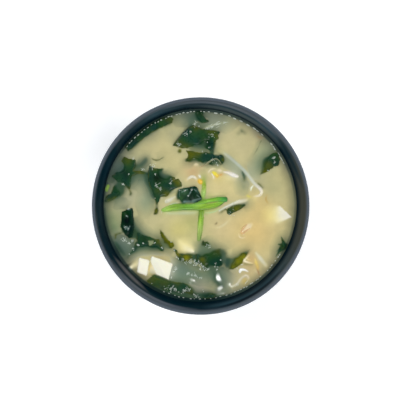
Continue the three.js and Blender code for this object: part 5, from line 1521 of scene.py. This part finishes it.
STREAKS = [
    (-5.6, -31.4, 0.8, 6, 1.6, 65), (-3.2, -31.2, 0.8, 6, 1.6, 72), (-1.4, -32.6, 1, 7, 1.6, 60),
    (0.4, -34, 0.9, 6, 1.5, -58), (2.4, -35.2, 0.9, 6, 1.4, -60), (4.2, -36, 0.5, 3, 1.3, 40),
    (-9.8, -30, 1, 5, 1.1, -60), (-12.6, -29, 0.8, 4, 1.1, -70), (-6.4, -38.4, 1.2, 6, 1.3, -68),
    (-2.6, -39.2, 1.5, 7, 1.4, -66), (0.6, -40.6, 0.6, 3, 1.3, 62), (-13.2, -35.6, 0.9, 5, 1.1, 60),
    (-17.6, -46.4, 1.2, 6, 1.2, 50), (-15.4, -46.6, 1.2, 8, 1.5, 60), (-13.6, -47, 0.8, 5, 1.3, -55),
    (-9.4, -47.8, 0.9, 6, 1.7, 62), (-6.6, -47.2, 0.9, 6, 1.5, -50), (-3, -50.2, 1, 5, 1, -25),
    (-0.8, -51.2, 0.8, 4, 1, -10), (-8.4, 40, 0.9, 6, 1.1, 60), (-5.6, 41.2, 0.8, 4, 1, -40),
    (-12, 34, 1.1, 6, 1.2, 50), (-3.4, 45.2, 1.4, 7, 1.3, -68), (6.6, 39.2, 1.8, 6, 1.2, 10),
    (3.6, 42.9, 0.9, 6, 2.2, 42), (6.6, 44.2, 1, 7, 2.4, 30), (10, 45.3, 1.1, 7, 2.4, 18),
    (13.8, 46.1, 1, 4, 2, 8), (41.2, 26.4, 0.8, 5, 1.2, 25), (41.6, 23.8, 0.8, 4, 1.2, -50),
    (-23.8, 11.4, 1.2, 7, 1.3, 50), (-22, 9.4, 0.9, 5, 1.2, -55), (-16.4, 12.8, 0.9, 5, 1.2, 55),
    (-26.4, 21.8, 1.3, 6, 1.1, 10), (-25, 17.4, 0.5, 4, 0.9, 80), (-42.4, -19.4, 1, 6, 1.5, -45),
    (-40, -21.4, 0.8, 4, 1.2, -20), (-37.9, -20, 0.5, 3, 1.6, 80), (5.4, -23.2, 0.8, 5, 1.4, 30),
    (26, -42.6, 1.2, 4, 1.6, 60), (20.6, -44.6, 1.2, 6, 1.4, 45), (17, -5.2, 1, 5, 1, -20),
    (-32.2, 19.9, 0.6, 4, 1, -40), (-43.2, 11.6, 0.6, 4, 1.4, -50), (8.6, -34, 0.6, 4, 1, 80),
    (21.2, 2.2, 1.4, 6, 1.2, 15), (18, 0.4, 1, 4, 1.2, 30),
]


DOME_HEIGHT = 0.34


def dome(x, y, z, length, width, turn, steps=3, sides=8):
    """A low closed dome: rings that shrink upwards, and a flat underside."""
    points, faces = [], []
    cosine, sine = math.cos(turn), math.sin(turn)
    for k in range(steps):
        tilt = math.pi / 2 * k / steps
        height = DOME_HEIGHT * width * math.sin(tilt)
        for i in range(sides):
            a = 2 * math.pi * i / sides
            u, v = length / 2 * math.cos(tilt) * math.cos(a), width / 2 * math.cos(tilt) * math.sin(a)
            points.append((x + u * cosine - v * sine, y + u * sine + v * cosine, z + height))
    points.append((x, y, z + DOME_HEIGHT * width))
    for k in range(steps - 1):
        faces += band(k * sides, (k + 1) * sides, sides)
    faces += fan((steps - 1) * sides, len(points) - 1, sides)
    faces.append(tuple(range(sides))[::-1])
    return points, faces


def uppermost(x, y):
    """The height and the colour of what a bubble at a place sits on."""
    hit, _, face, _ = below.ray_cast((x, y, RAY_START), (0, 0, -1))
    if hit is not None and hit[2] > LEVEL:
        return hit[2], face_colours[face]
    return LEVEL, raster_at(seen, np.array([[x, y]]))[0]


# %% Set the bubbles
# Partly froth and partly painted highlight: the pale share also stands for the shine of each small clear
# bubble.
FOAM_AND_SHEEN_WHITE = paint(204, 212, 200)
FOAM_FROM_WALL = 1.15
BUBBLE_SINKS = 0.02
dice = random.Random(7)
foam = []


def bubble(x, y, length, width, turn, share):
    """One bubble on whatever is uppermost, with a share of white over what lies under it."""
    z, under = uppermost(x, y)
    to_edge = surface_radius - IN_WALL - math.hypot(x, y)
    lies_at = z + float(meniscus(max(to_edge, 0))) - BUBBLE_SINKS
    points, faces = dome(x, y, lies_at, length, width, turn)
    foam.append((np.array(points), faces, np.tile(under + (FOAM_AND_SHEEN_WHITE - under) * share, (len(points), 1))))


def scattered(x, y, spread_by):
    """A random place near another."""
    return x + dice.gauss(0, spread_by), y + dice.gauss(0, spread_by)


for start, end, count, length, width in WALL_ARCS:
    for i in range(count):
        angle = math.radians(start + (end - start) * (i + 0.5 + dice.uniform(-0.3, 0.3)) / count)
        size = dice.uniform(0.7, 1.2)
        radius = surface_radius - IN_WALL - FOAM_FROM_WALL - dice.uniform(0, 0.4)
        place = radius * math.cos(angle), radius * math.sin(angle)
        bubble(*place, length * size, width * size, angle + math.pi / 2, dice.uniform(0.45, 0.75))
for x, y, reach_by, count, length, turn in STREAKS:
    for _ in range(count):
        bubble(*scattered(x, y, reach_by * 0.55), length * dice.uniform(0.7, 1.3), dice.uniform(0.3, 0.42),
               math.radians(turn + dice.uniform(-15, 15)), dice.uniform(0.2, 0.6))
for x, y, reach_by, count, size in CLUSTERS:
    for _ in range(count):
        wide = size * dice.uniform(0.45, 0.95)
        bubble(*scattered(x, y, reach_by * 0.5), wide * dice.uniform(1, 1.5), wide,
               dice.uniform(0, math.pi), dice.uniform(0.3, 0.75))


def foam_material():
    made, tree, shader = new_material("foam")
    tint = point_colour(tree)
    colour = mixed(tree, speckle(tree, 0.6, 2), tint, toned(tree, tint, 1.15))
    dress(tree, shader, Base_Color=colour, Roughness=0.22, IOR=WATER_IOR)
    return made


settle("foam_bubbles", make_mesh("foam_bubbles", *joined(foam)), foam_material(), "bubble")
print(len(foam), "bubbles")

# %% [markdown]
# ## Lamps that the liquid mirrors
# Flat liquid mirrors the ceiling. Each small lamp up there shows in the soup at one spot only, halfway
# between the lamp and the eye, so a lamp is hung where its image should fall. It is as high as the camera,
# which makes its image half its size. Each is listed with the place and the half widths of its image.

# %% Ceiling lamps
GLINTS = [(10.3, -40.7, 1.9, 3.4), (11.2, -46.5, 2.8, 0.9), (16.9, -44.8, 0.9, 2.0), (-3.9, -42, 1.2, 1.0)]
GLINT_RADIANCE = 75
for number, (x, y, wide, tall) in enumerate(GLINTS):
    hangs_at = (2 * x - CAMERA_AT[0], 2 * y - CAMERA_AT[1], CAMERA_AT[2])
    holder = lamp(f"ceiling_lamp_{number}", hangs_at, size=1, watts=1, towards=(x, y, LEVEL))
    holder.data.shape = "ELLIPSE"
    holder.data.size, holder.data.size_y = 2 * wide * MM, 2 * tall * MM
    holder.data.energy = GLINT_RADIANCE * math.pi * (math.pi * wide * tall * MM * MM)

# %% [markdown]
# ## The floor
# The bowl stands on a plain pale light table, which is no part of it.

# %% Floor
TABLE_RADIUS, TABLE_THICKNESS = 3000, 20
table = [(0, -TABLE_THICKNESS), (TABLE_RADIUS, -TABLE_THICKNESS), (TABLE_RADIUS, 0), (0, 0)]
floor = placed("floor", make_mesh("floor", *spun(table, 64), smooth=False))
made, tree, shader = new_material("pale_table")
paper = mixed(tree, speckle(tree, 40, 3), chip(251, 252, 253), chip(254, 254, 255))
dress(tree, shader, Base_Color=paper, Roughness=0.7, Emission_Color=(1, 1, 1, 1), Emission_Strength=0.24)
floor.data.materials.append(made)

# %% Measure
print("CAD box", [round(v / MM, 2) for v in (*cad_low, *cad_high)])
